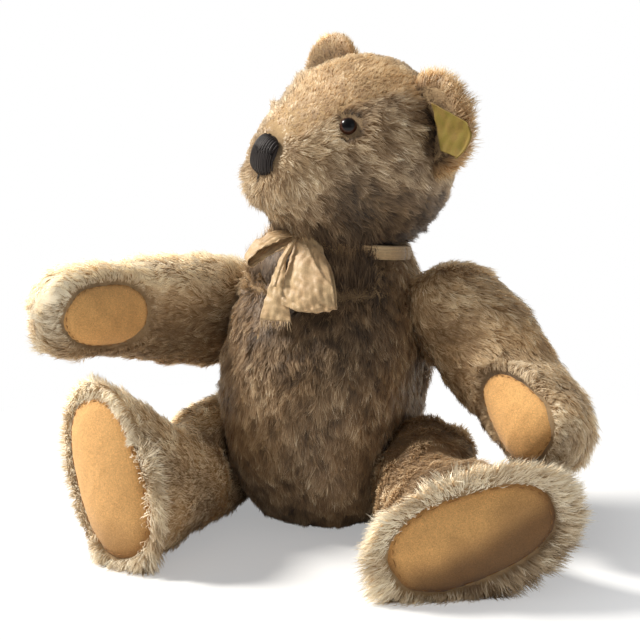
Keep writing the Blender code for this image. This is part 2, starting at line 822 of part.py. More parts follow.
def main():
    """Build every piece of the bear."""
    clear_scene()
    mats = {
        "plush": material("plush", (0.33, 0.24, 0.15), 0.95),
        "stuffing": material("stuffing", (0.62, 0.52, 0.36), 0.95),
        "felt": material("felt", (0.66, 0.38, 0.15), 0.95),
        "glass": material("glass", (0.06, 0.03, 0.02), 0.10),
        "thread": material("thread", (0.04, 0.025, 0.02), 0.80),
        "silk": material("silk", (0.66, 0.50, 0.28), 0.60),
        "cloth": material("cloth", (0.65, 0.42, 0.05), 0.80),
        "board": material("board", (0.32, 0.22, 0.13), 0.90),
        "steel": material("steel", (0.45, 0.44, 0.42), 0.35),
    }
    make_torso(mats)
    make_head(mats)
    right_shoulder = (mirrored(SHOULDER_PLACE), mirrored(SHOULDER_FACING))
    right_hip = (mirrored(HIP_PLACE), mirrored(HIP_FACING))
    parts = (
        ("arm_left", ARM, (LEFT_ARM, LEFT_ARM_TURN, SHOULDER_PLACE, SHOULDER_FACING, 1)),
        ("arm_right", ARM, (RIGHT_ARM, RIGHT_ARM_TURN, *right_shoulder, -1)),
        ("leg_left", LEG, (LEFT_LEG, LEFT_LEG_TURN, HIP_PLACE, HIP_FACING, 1)),
        ("leg_right", LEG, (RIGHT_LEG, RIGHT_LEG_TURN, *right_hip, -1)),
    )
    hardware = (mats["board"], mats["steel"])
    for name, table, limb in parts:
        side = name.split("_")[1]
        pad = paw_pad(limb) if table is ARM else sole_pad(limb)
        pad_name = f"paw_pad_{side}" if table is ARM else f"sole_pad_{side}"
        make_limb(name, table, limb, pad, mats, pad_name)
        joint_hardware(name, LIMB_DISC_RADIUS, limb[2], limb[3], hardware)
    joint_hardware("neck", NECK_DISC_RADIUS, NECK_PLACE, NECK_FACING, hardware)
    make_ribbon(mats)
    make_tag(mats)


if __name__ == "__main__":
    main()
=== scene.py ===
"""Dresses the threadbare jointed teddy bear: worn plush and its pile, felt pads, glass eyes,
a stitched nose, a creased silk bow, a blank ear tag, and the stage it sits on."""

import math

import bpy
import numpy as np
from mathutils import Matrix, Vector
from mathutils.bvhtree import BVHTree
from mathutils.kdtree import KDTree


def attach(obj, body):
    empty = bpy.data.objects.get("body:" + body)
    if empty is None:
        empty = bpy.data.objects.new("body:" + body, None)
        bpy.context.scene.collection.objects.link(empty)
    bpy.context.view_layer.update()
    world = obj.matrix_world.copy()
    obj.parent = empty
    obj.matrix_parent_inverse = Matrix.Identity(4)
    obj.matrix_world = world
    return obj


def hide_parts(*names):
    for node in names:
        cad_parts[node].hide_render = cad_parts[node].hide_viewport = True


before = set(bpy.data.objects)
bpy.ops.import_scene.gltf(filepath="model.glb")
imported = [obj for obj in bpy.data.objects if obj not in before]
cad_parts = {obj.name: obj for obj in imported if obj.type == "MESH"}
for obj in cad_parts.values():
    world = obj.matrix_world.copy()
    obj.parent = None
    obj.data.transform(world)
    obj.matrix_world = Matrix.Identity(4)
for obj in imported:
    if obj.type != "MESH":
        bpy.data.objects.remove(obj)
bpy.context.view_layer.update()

bl_info = {
    "name": "Threadbare Teddy Bear",
    "version": (1, 0, 0),
    "blender": (4, 5, 0),
    "location": "3D View > Sidebar > Bear",
    "description": "Worn plush, felt, silk, glass and thread for a jointed teddy bear",
    "category": "Object",
}

MM = 0.001

# Torso from the seat up: height, half width, half depth, forward shift, in mm
TORSO = (
    (0, 29, 28, -4),
    (5, 36.5, 37, -5),
    (20, 46, 48.5, -7),
    (45, 54.5, 59, -8),
    (75, 60.5, 63, -6),
    (100, 61, 61.5, -2),
    (125, 57.5, 56, 4),
    (145, 50.5, 49, 9),
    (160, 41.5, 41, 13),
    (170, 34, 33, 15),
    (178, 22, 22, 16),
)

# Head from the back forward: distance, half width, half height, drop, in mm
HEAD = (
    (-57, 0, 0, -3),
    (-54, 18, 18, -3),
    (-43.5, 37.5, 37, -3),
    (-27, 51, 50, -2.5),
    (-7, 58, 57.5, -1.5),
    (14, 57, 56, 0),
    (30, 51, 50.5, 4),
    (42, 43, 42.5, 7),
    (51.5, 34.5, 34.5, 10),
    (60, 27.5, 27, 13),
    (67.5, 20, 20, 15),
    (71.5, 9.5, 9.5, 16),
    (73, 0, 0, 16),
)

# Arm from the shoulder down: distance, half thickness, half width, lift, in mm
ARM = (
    (0, 0, 0, 0),
    (4, 13, 16, 0),
    (14, 23, 28, 0),
    (34, 29, 33, 0),
    (58, 29, 33, 0),
    (84, 28, 31, 0),
    (110, 24, 27, 0),
    (132, 23, 26.5, 0),
    (148, 20.5, 24.5, 0),
    (159, 14, 18, 0),
    (165, 0, 0, 0),
)

# Leg from the hip down: distance, half thickness, half width, lift, in mm
LEG = (
    (0, 0, 0, 0),
    (4, 15, 18, 0),
    (14, 24, 27, 0),
    (34, 28, 31, 0),
    (62, 28, 31, 0),
    (90, 26, 29, -1),
    (113, 26, 31, 3),
    (134, 28, 39, 9),
    (150, 29.5, 47, 13),
    (162, 30, 51, 14),
    (165.5, 28, 49, 14),
    (167, 0, 0, 14),
)

NECK = ((3, 16, 170), (0.02, 0.15, 0.99))
SHOULDER = ((57, 6, 120), (0.94, 0.18, 0.26))
HIP = ((46, -14, 37), (0.985, 0.0, -0.17))

# Limb middles from the joint end outward in mm, their turn in degrees, and which way is up
LIMBS = {
    "arm_left": (
        ARM, ((62, 26, 150), (78, 16, 128), (107, 1, 106), (139, -22, 83), (164, -42, 62)),
        (0, -60), 1,
    ),
    "arm_right": (
        ARM, ((-69, 34, 114), (-86, 4, 119), (-102, -40, 126), (-118, -82, 132), (-130, -119, 135)),
        (0, 12), -1,
    ),
    "leg_left": (
        LEG, ((63, 20, 36), (69, -14, 34), (83, -48, 32.5), (103, -85, 31), (124, -118, 30)),
        (0, -60), 1,
    ),
    "leg_right": (
        LEG, ((-63, 20, 36), (-68, -14, 34), (-63, -56, 32.5), (-60, -101, 33), (-68, -144, 37)),
        (0, 12), -1,
    ),
}
FLAT_SHARE = 0.55
GAP = 0.0003

# Widths of the small and large locks, how deep a hair is rooted, and its half width on the map
LOCK_ACROSS = (0.0026, 0.0075)
HAIR_SINK = 0.0007
MAP_STEP = 0.012
# Where along a hair its root, bend and tip are
HAIR_PARTS = (0.0, 0.52, 1.0)
HAIRS = {"torso_front": 72000, "torso_back": 50000, "head": 88000, "ear": 11000, "arm": 46000, "leg": 52000}
# Tone of each limb's pile: by the joint, at the far end, and how much lighter its top is, as painted light
# from above
LIMB_TONE = {
    "arm_left": (0.50, 0.68, 0.14),
    "arm_right": (0.46, 0.74, 0.42),
    # The left leg starts dark by its hip: painted shade on the thigh under the arm and torso
    "leg_left": (0.32, 0.88, 0.06),
    "leg_right": (0.60, 0.74, 0.16),
}

# Rings of points for each row of a shape's table, and points in a ring
RINGS_FINER = 4
BODY_POINTS, LIMB_POINTS, EAR_POINTS = 72, 64, 48

HEAD_PLACE = (11, 21, 220)
HEAD_YAW, HEAD_ROLL, HEAD_NOD = -28, 12, -12
EYE_AT = {1: ((31, 43.5, 21), (0.64, 0.62, 0.46)), -1: ((-31, 43.5, 21), (-0.64, 0.62, 0.46))}
EYE_RADIUS = 0.0052
EYE_SUNK = {1: 0.0012, -1: 0.0034}
NOSE_AT = (0, -69.5, -10)
NOSE_HALF = (0.0105, 0.0080, 0.0125)
NOSE_THREADS = 25
# Lines of the mouth below the nose: how far right and up, in mm
MOUTH = (
    ((0, -22), (0, -26), (0, -31)),
    ((0, -31), (4.5, -33.5), (9, -34)),
    ((0, -31), (-4.5, -33.5), (-9, -34)),
)
EAR_AT = (50, -4, 34)
EAR_OUT, EAR_ROUND, EAR_LEAN = 34, -6, 6
EAR_HALF = (0.0255, 0.0090, 0.0250)
# The cup's share of an ear's radius
EAR_CUP = 0.86

PAW_PAD = (0.0285, 0.0195, 0.22, 0.78)
SOLE_PAD = (0.0475, 0.0255, 0.06)
# The right paw pad is broad toward its shoulder; every pad is a little squarer than an oval
RIGHT_PAW_POINTED = -0.06
PAD_SQUARE = 2.5
PAW_PAD_SUNK = 0.0045
# How deep below a pad's middle its own side of the limb still counts, by arm or leg
PAD_REACH = {"arm": 0.013, "leg": 0.006}
# Swelling of the felt at its middle, and how far its edge is sunk
PAD_CROWN = {"arm": 0.0026, "leg": 0.0082}
PAD_SUNK = {"arm": 0.0010, "leg": 0.0013}
PAD_ROWS, PAD_ROUND = 14, 60


# Numbers and shapes

def unit(rows):
    """Rows of vectors, each a length of one."""
    return rows / np.maximum(np.linalg.norm(rows, axis=-1, keepdims=True), 1e-12)


def dots(a, b):
    """The dot product of each pair of rows."""
    return (a * b).sum(-1, keepdims=True)


def step_up(values, low, high):
    """From 0 at low to 1 at high, eased at both ends."""
    part = np.clip((values - low) / (high - low), 0, 1)
    return part * part * (3 - 2 * part)


def waves(points, size, seed, count=8):
    """Soft patches of about one size over space, from about -1 to 1."""
    rng = np.random.default_rng(seed)
    ways = unit(rng.normal(size=(count, 3))) * (2 * math.pi / size)
    ways = ways * rng.uniform(0.7, 1.5, (count, 1))
    shift = rng.uniform(0, 2 * math.pi, count)
    return np.sin(points @ ways.T + shift).sum(1) / math.sqrt(count) * 0.9


def linear(red, green, blue):
    """A colour given as screen values from 0 to 255, as a shader reads it."""
    out = []
    for part in (red, green, blue):
        part = part / 255
        out.append(part / 12.92 if part <= 0.04045 else ((part + 0.055) / 1.055) ** 2.4)
    return (*out, 1.0)


def smooth_between(rows, where):
    """Read a table of numbers at a place along its first column, smoothly."""
    last = len(rows) - 1
    index = 0
    while index < last - 1 and rows[index + 1][0] < where:
        index += 1
    low, high = rows[index], rows[index + 1]
    before = rows[max(index - 1, 0)]
    after = rows[min(index + 2, last)]
    span = high[0] - low[0]
    part = (where - low[0]) / span
    values = []
    for k in range(1, len(low)):
        start = (high[k] - before[k]) / max(high[0] - before[0], 1e-9) * span
        end = (after[k] - low[k]) / max(after[0] - low[0], 1e-9) * span
        if index == 0:
            start = 1.6 * (high[k] - low[k])
        if index == last - 1:
            end = 1.6 * (high[k] - low[k])
        square, cube = part * part, part * part * part
        value = (2 * cube - 3 * square + 1) * low[k] + (cube - 2 * square + part) * start
        value += (3 * square - 2 * cube) * high[k] + (cube - square) * end
        values.append(value)
    return values


def smooth_line(rows, where):
    """Read evenly spaced points smoothly, from 0 at the first to 1 at the last."""
    last = len(rows) - 1
    index = min(int(where * last), last - 1)
    low, high = np.array(rows[index], float), np.array(rows[index + 1], float)
    before = np.array(rows[max(index - 1, 0)], float)
    after = np.array(rows[min(index + 2, last)], float)
    part = where * last - index
    start = high - before if index == 0 else (high - before) / 2
    end = after - low if index == last - 1 else (after - low) / 2
    square, cube = part * part, part ** 3
    return ((2 * cube - 3 * square + 1) * low + (cube - 2 * square + part) * start
            + (3 * square - 2 * cube) * high + (cube - square) * end)


def stations(rows, finer):
    """Places along a table, with more places between its rows."""
    places = []
    for low, high in zip(rows, rows[1:]):
        places += [low[0] + (high[0] - low[0]) * k / finer for k in range(finer)]
    return places + [rows[-1][0]]


def mirrored(values):
    """The same place or facing on the other side of the bear."""
    return (-values[0], values[1], values[2])


def plane(place, facing, back=0.0):
    """A flat given by a point in mm and a facing, set back by a distance."""
    facing = Vector(facing).normalized()
    return Vector(place) * MM - facing * back, facing


def held_flat(points, planes):
    """Press points that stand past a flat back onto it."""
    for point in points:
        for place, facing in planes:
            past = (point - place).dot(facing)
            if past > 0:
                point -= facing * past
    return points


def ring(middle, across, along, wide, deep, count, square=2.3):
    """A rounded ring of points about a middle."""
    points = []
    for k in range(count):
        turn = 2 * math.pi * k / count
        c, s = math.cos(turn), math.sin(turn)
        x = math.copysign(abs(c) ** (2 / square), c) * wide
        y = math.copysign(abs(s) ** (2 / square), s) * deep
        points.append(middle + across * x + along * y)
    return points


def shoulder_or_hip(name):
    """The joint flat of a limb: a place in mm and a facing."""
    place, facing = SHOULDER if name.startswith("arm") else HIP
    return (place, facing) if name.endswith("left") else (mirrored(place), mirrored(facing))


def torso_rings(finer, count):
    """The torso as a barrel with flats at the neck, shoulders and hips."""
    flats = [plane(*NECK)] + [plane(*shoulder_or_hip(name)) for name in LIMBS]
    rings = []
    for height in stations(TORSO, finer):
        wide, deep, shift = smooth_between(TORSO, height)
        middle = Vector((0, shift * MM, height * MM))
        rings.append(ring(middle, Vector((1, 0, 0)), Vector((0, 1, 0)), wide * MM, deep * MM, count))
    first, last = rings[0], rings[-1]
    caps = []
    for rim in (first, last):
        middle = sum(rim, Vector()) / count
        caps.append([[middle + (point - middle) * part for point in rim] for part in (0, 0.35, 0.7)])
    rings = caps[0] + rings + caps[1][::-1]
    return [held_flat(points, flats) for points in rings]


def head_matrix():
    """Where the head sits and which way it looks."""
    turn = Matrix.Rotation(math.radians(HEAD_YAW), 4, "Z")
    turn = turn @ Matrix.Rotation(math.radians(HEAD_ROLL), 4, "Y")
    turn = turn @ Matrix.Rotation(math.radians(HEAD_NOD), 4, "X")
    return Matrix.Translation(Vector(HEAD_PLACE) * MM) @ turn


def head_rings(finer, count):
    """The head with its short muzzle, flat where it meets the torso."""
    place = head_matrix()
    neck, facing = plane(*NECK, back=-GAP)
    rings = []
    for along in stations(HEAD, finer):
        wide, tall, drop = smooth_between(HEAD, along)
        middle = Vector((0, -along * MM, -drop * MM))
        wide, tall = max(wide, 0) * MM, max(tall, 0) * MM
        points = ring(middle, Vector((1, 0, 0)), Vector((0, 0, 1)), wide, tall, count, 2.15)
        rings.append(held_flat([place @ point for point in points], [(neck, -facing)]))
    return rings


def limb_axes(name, share):
    """Middle, run, thickness way and width way of a limb at one place."""
    _, spine, turn, up = LIMBS[name]
    facing = Vector(shoulder_or_hip(name)[1]).normalized()
    middle = Vector(smooth_line(spine, share)) * MM
    ahead = smooth_line(spine, min(share + 0.01, 1))
    behind = smooth_line(spine, max(share - 0.01, 0))
    run = Vector(ahead - behind).normalized()
    thick = (facing - run * facing.dot(run)).normalized()
    angle = math.radians(turn[0] + (turn[1] - turn[0]) * min(max((share - 0.2) / 0.65, 0), 1))
    thick = Matrix.Rotation(angle, 3, run) @ thick
    return middle, run, thick, run.cross(thick) * up


def limb_rings(name, finer, count):
    """An arm or leg along its middle, flat where its joint is."""
    table = LIMBS[name][0]
    long = table[-1][0]
    flat, facing = plane(*shoulder_or_hip(name), back=-GAP)
    rings = []
    for along in stations(table, finer):
        thick_half, wide_half, lift = smooth_between(table, along)
        share = along / long
        middle, _, thick, wide = limb_axes(name, share)
        size = (max(thick_half, 0) * MM, max(wide_half, 0) * MM)
        points = ring(middle + wide * lift * MM, thick, wide, *size, count)
        if share < FLAT_SHARE:
            held_flat(points, [(flat, -facing)])
        rings.append(points)
    return rings


def ear_matrix(side):
    """Where an ear stands on the head and how it is turned."""
    place = Matrix.Translation(Vector((side * EAR_AT[0], -EAR_AT[1], EAR_AT[2])) * MM)
    turn = Matrix.Rotation(math.radians(side * EAR_OUT), 4, "Y")
    turn = turn @ Matrix.Rotation(math.radians(-side * EAR_ROUND), 4, "Z")
    turn = turn @ Matrix.Rotation(math.radians(EAR_LEAN), 4, "X")
    return head_matrix() @ place @ turn


def ear_rings(side, count):
    """A round ear as a lens with a cupped front."""
    wide, thick, tall = EAR_HALF
    at = ear_matrix(side)
    rings = []
    for step in range(-20, 21):
        turn = step / 20 * math.pi / 2
        part = math.cos(turn)
        back = thick * math.sin(turn)
        if step < 0 and part < EAR_CUP:
            back = -thick * 0.50 * step_up(part, 0.0, EAR_CUP)
        middle = Vector((0, back, 0))
        points = ring(middle, Vector((1, 0, 0)), Vector((0, 0, 1)), wide * part, tall * part, count, 2.1)
        rings.append([at @ point for point in points])
    return rings


def pad_frame(name):
    """Middle, across, along and outward way of a limb's felt pad, and its sizes."""
    table = LIMBS[name][0]
    if table is ARM:
        long, wide, pointed, share = PAW_PAD
        if name == "arm_right":
            pointed = RIGHT_PAW_POINTED
        middle, run, thick, wide_way = limb_axes(name, share)
        half = smooth_between(ARM, share * ARM[-1][0])[0] * MM
        return middle - thick * (half - PAW_PAD_SUNK), wide_way, -run, -thick, long, wide, pointed
    long, wide, pointed = SOLE_PAD
    middle, run, thick, wide_way = limb_axes(name, 1.0)
    return middle + wide_way * LEG[-1][3] * MM, thick, wide_way, run, long, wide, pointed


def pad_place(points, pad):
    """How far out points are on a pad, 1 at its rim, and their height over its middle."""
    middle, across, along, way, long, wide, pointed = pad
    off = points - np.array(middle)
    x, y = off @ np.array(across), off @ np.array(along)
    lean = 1 - pointed * np.clip(y / long, -1, 1)
    ratio = (np.abs(y / long) ** PAD_SQUARE + np.abs(x / (wide * lean)) ** PAD_SQUARE) ** (1 / PAD_SQUARE)
    return ratio, off @ np.array(way)


def kind_of(name):
    """Whether a limb is an arm or a leg."""
    return name.split("_")[0]


def on_pad_side(name, height):
    """Which points lie on the same side of a limb as its pad."""
    return height > -PAD_REACH[kind_of(name)]


# Objects of the scene

def select_only(*objects):
    """Select these objects alone, the first of them active."""
    bpy.ops.object.select_all(action="DESELECT")
    for obj in objects:
        obj.select_set(True)
    bpy.context.view_layer.objects.active = objects[0]


def placed(name, mesh):
    """A mesh as an object in the scene."""
    obj = bpy.data.objects.new(name, mesh)
    bpy.context.scene.collection.objects.link(obj)
    return obj


def faced_out(obj, merge=0.0):
    """Turn a mesh's faces outward, after merging points that are closer than a distance."""
    select_only(obj)
    bpy.ops.object.mode_set(mode="EDIT")
    bpy.ops.mesh.select_all(action="SELECT")
    if merge:
        bpy.ops.mesh.remove_doubles(threshold=merge)
    bpy.ops.mesh.normals_make_consistent(inside=False)
    bpy.ops.object.mode_set(mode="OBJECT")


def point_values(mesh, name, values):
    """Write one number for each point of a mesh, for its finish to read."""
    layer = mesh.attributes.new(name, "FLOAT", "POINT")
    layer.data.foreach_set("value", np.asarray(values, np.float32))


def ball(name, segments, rings, radius, size):
    """A round or flattened ball at the origin."""
    bpy.ops.object.select_all(action="DESELECT")
    bpy.ops.mesh.primitive_uv_sphere_add(
        segments=segments, ring_count=rings, radius=radius, location=(0, 0, 0))
    obj = bpy.context.object
    obj.name = name
    bpy.ops.object.mode_set(mode="EDIT")
    bpy.ops.transform.resize(value=size)
    bpy.ops.object.mode_set(mode="OBJECT")
    return obj


# Soft skins and their pile

class Skin:
    """The cloth of a soft piece: its mesh, and which way and how far along each point lies."""

    def __init__(self, name, rings, lumps, seed):
        cloud = np.array([[tuple(p) for p in points] for points in rings])
        rows, count = cloud.shape[:2]
        way = np.gradient(cloud, axis=0)
        share = np.repeat(np.linspace(0, 1, rows), count)
        ids = np.arange(rows * count).reshape(rows, count)
        for row in (0, -1):
            if np.ptp(cloud[row], axis=0).max() < 1e-5:
                ids[row] = ids[row, 0]
                way[row] = 0
        faces = []
        for low, high in zip(ids, ids[1:]):
            after_low, after_high = np.roll(low, -1), np.roll(high, -1)
            for corners in zip(low, after_low, after_high, high):
                faces.append(list(dict.fromkeys(int(c) for c in corners)))
        used = np.unique(ids)
        new = np.zeros(rows * count, int)
        new[used] = np.arange(len(used))
        points = cloud.reshape(-1, 3)[used]
        self.way = unit(way.reshape(-1, 3)[used])
        self.share = share[used]
        mesh = bpy.data.meshes.new(name)
        mesh.from_pydata(points.tolist(), [], [[int(new[c]) for c in face] for face in faces])
        self.obj = placed(name, mesh)
        faced_out(self.obj)
        self.read()
        self.push(lumps * (0.6 * waves(self.at, 0.040, seed) + 0.4 * waves(self.at, 0.018, seed + 1)))

    def read(self):
        """Take the points and their normals from the mesh."""
        mesh = self.obj.data
        flat = np.empty(len(mesh.vertices) * 3)
        mesh.vertices.foreach_get("co", flat)
        self.at = flat.reshape(-1, 3).copy()
        mesh.vertex_normals.foreach_get("vector", flat)
        self.normal = flat.reshape(-1, 3).copy()

    def push(self, distance):
        """Move the points along their normals."""
        moved = self.at + self.normal * np.reshape(distance, (-1, 1))
        self.obj.data.vertices.foreach_set("co", moved.reshape(-1))
        self.obj.data.update()
        self.read()

    def roots(self, count, seed, wanted=None):
        """Places for hairs, spread evenly, or by a weight for each point."""
        mesh = self.obj.data
        mesh.calc_loop_triangles()
        tris = np.empty(len(mesh.loop_triangles) * 3, np.int32)
        mesh.loop_triangles.foreach_get("vertices", tris)
        tris = tris.reshape(-1, 3)
        a, b, c = (self.at[tris[:, k]] for k in range(3))
        area = np.linalg.norm(np.cross(b - a, c - a), axis=1)
        if wanted is not None:
            area = area * wanted[tris].mean(1)
        rng = np.random.default_rng(seed)
        edges = np.concatenate([[0], np.cumsum(area)])
        drawn = (np.arange(count) + rng.uniform(0, 1, count)) / count * edges[-1]
        picked = np.searchsorted(edges, drawn) - 1
        picked = np.clip(picked, 0, len(tris) - 1)
        rng.shuffle(picked)
        u, v = rng.uniform(0, 1, count), rng.uniform(0, 1, count)
        flip = u + v > 1
        u[flip], v[flip] = 1 - u[flip], 1 - v[flip]
        parts = np.stack([1 - u - v, u, v], 1)[:, :, None]
        corners = tris[picked]
        found = Roots()
        found.at = (self.at[corners] * parts).sum(1)
        found.normal = unit((self.normal[corners] * parts).sum(1))
        found.way = unit((self.way[corners] * parts).sum(1) + 1e-9)
        found.share = (self.share[corners] * parts[:, :, 0]).sum(1)
        found.ground = edges[-1] / count * 0.5
        found.set_plain()
        return found


class Roots:
    """Places where hairs start, and how each hair grows."""

    def set_plain(self):
        """Give every hair a middling length, tone and lean."""
        count = len(self.at)
        self.length = np.full(count, 0.010)
        self.lift = np.full(count, 0.45)
        self.tone = np.full(count, 0.5)
        self.gold = np.full(count, 0.3)
        self.wide = np.full(count, 1.0)
        self.pale = np.full(count, 0.5)

    def keep(self, where):
        """Leave only the hairs that a test holds for."""
        for key, value in list(vars(self).items()):
            if isinstance(value, np.ndarray):
                setattr(self, key, value[where])
        return self


def tree_of(obj):
    """The surface of a mesh, for finding where a line hits it."""
    points = [vert.co.copy() for vert in obj.data.vertices]
    return BVHTree.FromPolygons(points, [list(face.vertices) for face in obj.data.polygons])


def locks_of(roots, across, seed):
    """The hair at the middle of the lock that each hair belongs to, for locks of one width."""
    rng = np.random.default_rng(seed)
    count = max(int(len(roots.at) * roots.ground / across ** 2), 1)
    middles = rng.choice(len(roots.at), count, replace=False)
    tree = KDTree(count)
    for k, middle in enumerate(middles):
        tree.insert(roots.at[middle], k)
    tree.balance()
    return middles[[tree.find(point)[1] for point in roots.at]]


def combed(roots, seed, stray):
    """The comb's way over the surface at each hair, with swirls, and the way across it."""
    rng = np.random.default_rng(seed)
    comb = unit(roots.way - roots.normal * dots(roots.way, roots.normal))
    side = np.cross(roots.normal, comb)
    swirl = stray * (0.7 * waves(roots.at, 0.030, seed + 5) + 0.5 * waves(roots.at, 0.011, seed + 6))
    turn = (swirl + rng.normal(0, stray * 0.45, len(roots.at)))[:, None]
    return comb * np.cos(turn) + side * np.sin(turn), side * np.cos(turn) - comb * np.sin(turn)


def hair_paths(roots, seed, stray, gather, frizz):
    """Root, middle and tip of each hair, gathered in small locks and these in large ones."""
    rng = np.random.default_rng(seed + 1)
    count = len(roots.at)
    comb, side = combed(roots, seed, stray)
    long = (roots.length * rng.uniform(0.66, 1.14, count))[:, None]
    lift = (roots.lift * rng.uniform(0.55, 1.45, count))[:, None]
    bend = rng.normal(0, 0.16, (count, 1))
    level = np.sqrt(np.maximum(1 - (lift * 0.62) ** 2, 0.05))
    path = []
    for part in HAIR_PARTS:
        out = lift * (part - 0.38 * part * part) * long - HAIR_SINK
        spot = roots.at + roots.normal * out + comb * part * long * level
        path.append(spot + side * bend * part * part * long)
    path = np.stack(path)
    small, large = (locks_of(roots, across, seed + 7 + k) for k, across in enumerate(LOCK_ACROSS))
    for middle, pull in zip((small, large), gather):
        for k, part in enumerate(HAIR_PARTS):
            path[k] += (path[k][middle] - path[k]) * pull * part ** 1.6
    path[1:] += rng.normal(0, frizz, (2, count, 3)) * long * np.array([0.5, 1.0])[:, None, None]
    path[:, :, 2] = np.maximum(path[:, :, 2], 0.0004)
    return path, small, large


def grow(name, roots, body, seed, stray=0.32, gather=(0.42, 0.26), frizz=0.055):
    """Hairs as thin blades, each of two triangles bent at its middle."""
    rng = np.random.default_rng(seed + 2)
    count = len(roots.at)
    path, small, large = hair_paths(roots, seed, stray, gather, frizz)
    aim = unit(path[2] - path[0])
    tilt = rng.normal(0, 0.45, (count, 1))
    flat = unit(np.cross(roots.normal, aim)) * np.cos(tilt) + roots.normal * np.sin(tilt)
    flat = unit(flat - aim * dots(flat, aim))
    width = bpy.context.scene.bear_pile.hair_width * 1.0
    half = (width * 0.5 * roots.wide * rng.uniform(0.65, 1.35, count))[:, None] * flat
    points = np.stack([path[0], path[1] - half, path[1] + half, path[2]], 1)
    shine = unit(np.cross(aim, flat))
    shine *= np.sign(dots(shine, roots.normal))
    shade = unit(roots.normal * 0.78 + shine * 0.22 + aim * 0.06)
    spread = rng.normal(0, 1, (4, count))
    lock_tone = 0.06 * spread[0][small] + 0.025 * spread[1][large]
    bleached = roots.pale * step_up(0.6 * spread[2] + 0.8 * spread[2][small], 0.7, 1.9)
    low = roots.tone - 0.20 + lock_tone * 0.6
    high = roots.tone + 0.08 + lock_tone + 0.07 * spread[3] + 0.50 * bleached
    tones = np.stack([low, (low + high) / 2, (low + high) / 2, high], 1)
    gold = roots.gold + rng.normal(0, 0.05, count)
    golds = np.stack([gold, gold - MAP_STEP, gold + MAP_STEP, gold], 1)
    return blades(name, points, shade, tones, golds, body)


def blades(name, points, shade, tones, golds, body):
    """One mesh of four-point blades, with their tones laid out as a map."""
    count = len(points)
    loops = (np.arange(count)[:, None] * 4 + np.array([0, 1, 2, 2, 1, 3])).reshape(-1)
    mesh = bpy.data.meshes.new(name)
    mesh.vertices.add(count * 4)
    mesh.loops.add(count * 6)
    mesh.polygons.add(count * 2)
    mesh.vertices.foreach_set("co", points.reshape(-1))
    mesh.loops.foreach_set("vertex_index", loops.astype(np.int32))
    mesh.polygons.foreach_set("loop_start", np.arange(0, count * 6, 3, dtype=np.int32))
    layer = mesh.uv_layers.new(name="OFBake", do_init=False)
    spots = np.stack([tones.reshape(-1)[loops], golds.reshape(-1)[loops]], 1)
    layer.uv.foreach_set("vector", np.clip(spots, 0.015, 0.985).astype(np.float32).reshape(-1))
    mesh.update(calc_edges=True)
    mesh.shade_smooth()
    mesh.normals_split_custom_set_from_vertices(np.repeat(shade, 4, axis=0).tolist())
    mesh.materials.append(finish("mohair pile", pile_finish, bpy.context.scene.bear_colours))
    obj = placed(name, mesh)
    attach(obj, body)
    return obj


# Threads and sheets

def thread(points, radius, sides=6, ends=0.35):
    """Points and faces of a round thread along a line, drawn in at both ends."""
    path = np.array(points, float)
    along = unit(np.gradient(path, axis=0))
    start = np.array([0.31, 0.24, 0.92])
    side = unit(np.cross(along, start))
    other = np.cross(along, side)
    count = len(path)
    size = np.full(count, radius)
    size[0] = size[-1] = radius * ends
    verts = []
    for k in range(count):
        for j in range(sides):
            turn = 2 * math.pi * j / sides
            verts.append(path[k] + (side[k] * math.cos(turn) + other[k] * math.sin(turn)) * size[k])
    faces = grid_faces_round(count, sides)
    faces.append(tuple(range(sides))[::-1])
    faces.append(tuple(range((count - 1) * sides, count * sides)))
    return verts, faces


def joined_mesh(name, parts, mat):
    """One object of many small meshes, each given as points and faces."""
    verts, faces = [], []
    for points, corners in parts:
        start = len(verts)
        verts += [tuple(point) for point in points]
        faces += [[start + c for c in face] for face in corners]
    mesh = bpy.data.meshes.new(name)
    mesh.from_pydata(verts, [], faces)
    mesh.materials.append(mat)
    obj = placed(name, mesh)
    faced_out(obj)
    mesh.shade_smooth()
    return obj


def grid_faces(rows, columns):
    """Faces over a grid of points."""
    faces = []
    for r in range(rows - 1):
        for c in range(columns - 1):
            a, b = r * columns + c, (r + 1) * columns + c
            faces.append((a, a + 1, b + 1, b))
    return faces


def grid_faces_round(rows, count):
    """Faces over rings of points."""
    faces = []
    for r in range(rows - 1):
        for k in range(count):
            a, b = r * count + k, r * count + (k + 1) % count
            faces.append((a, b, b + count, a + count))
    return faces


# Finishes

def fresh(name):
    """A new material with its shader and an empty board of nodes round it."""
    mat = bpy.data.materials.new(name)
    mat.use_nodes = True
    return mat, mat.node_tree, mat.node_tree.nodes["Principled BSDF"]


def feed(tree, made, inputs):
    """Give a node its input values or links."""
    for key, value in dict(inputs).items():
        if isinstance(value, bpy.types.NodeSocket):
            tree.links.new(value, made.inputs[key])
        else:
            made.inputs[key].default_value = value


def node(tree, kind, inputs=(), **settings):
    """Add one node, with its settings and its input values or links."""
    made = tree.nodes.new(kind)
    for key, value in settings.items():
        setattr(made, key, value)
    feed(tree, made, inputs)
    return made


def object_place(tree):
    """Where a point is on its own object."""
    return node(tree, "ShaderNodeTexCoord").outputs["Object"]


def map_place(tree):
    """Where a point is on its map."""
    return node(tree, "ShaderNodeUVMap", uv_map="OFBake").outputs["UV"]


def point_value(tree, name):
    """The number written for each point under a name."""
    return node(tree, "ShaderNodeAttribute", attribute_name=name).outputs["Fac"]


def ranged(tree, value, start, end):
    """A value brought from one range to another, each given as its ends."""
    made = node(tree, "ShaderNodeMapRange", {
        "Value": value, "From Min": start[0], "From Max": start[1], "To Min": end[0], "To Max": end[1]})
    return made.outputs[0]


def reckoned(tree, how, first, second):
    """Two values brought together by a sum of one kind."""
    return node(tree, "ShaderNodeMath", {0: first, 1: second}, operation=how).outputs[0]


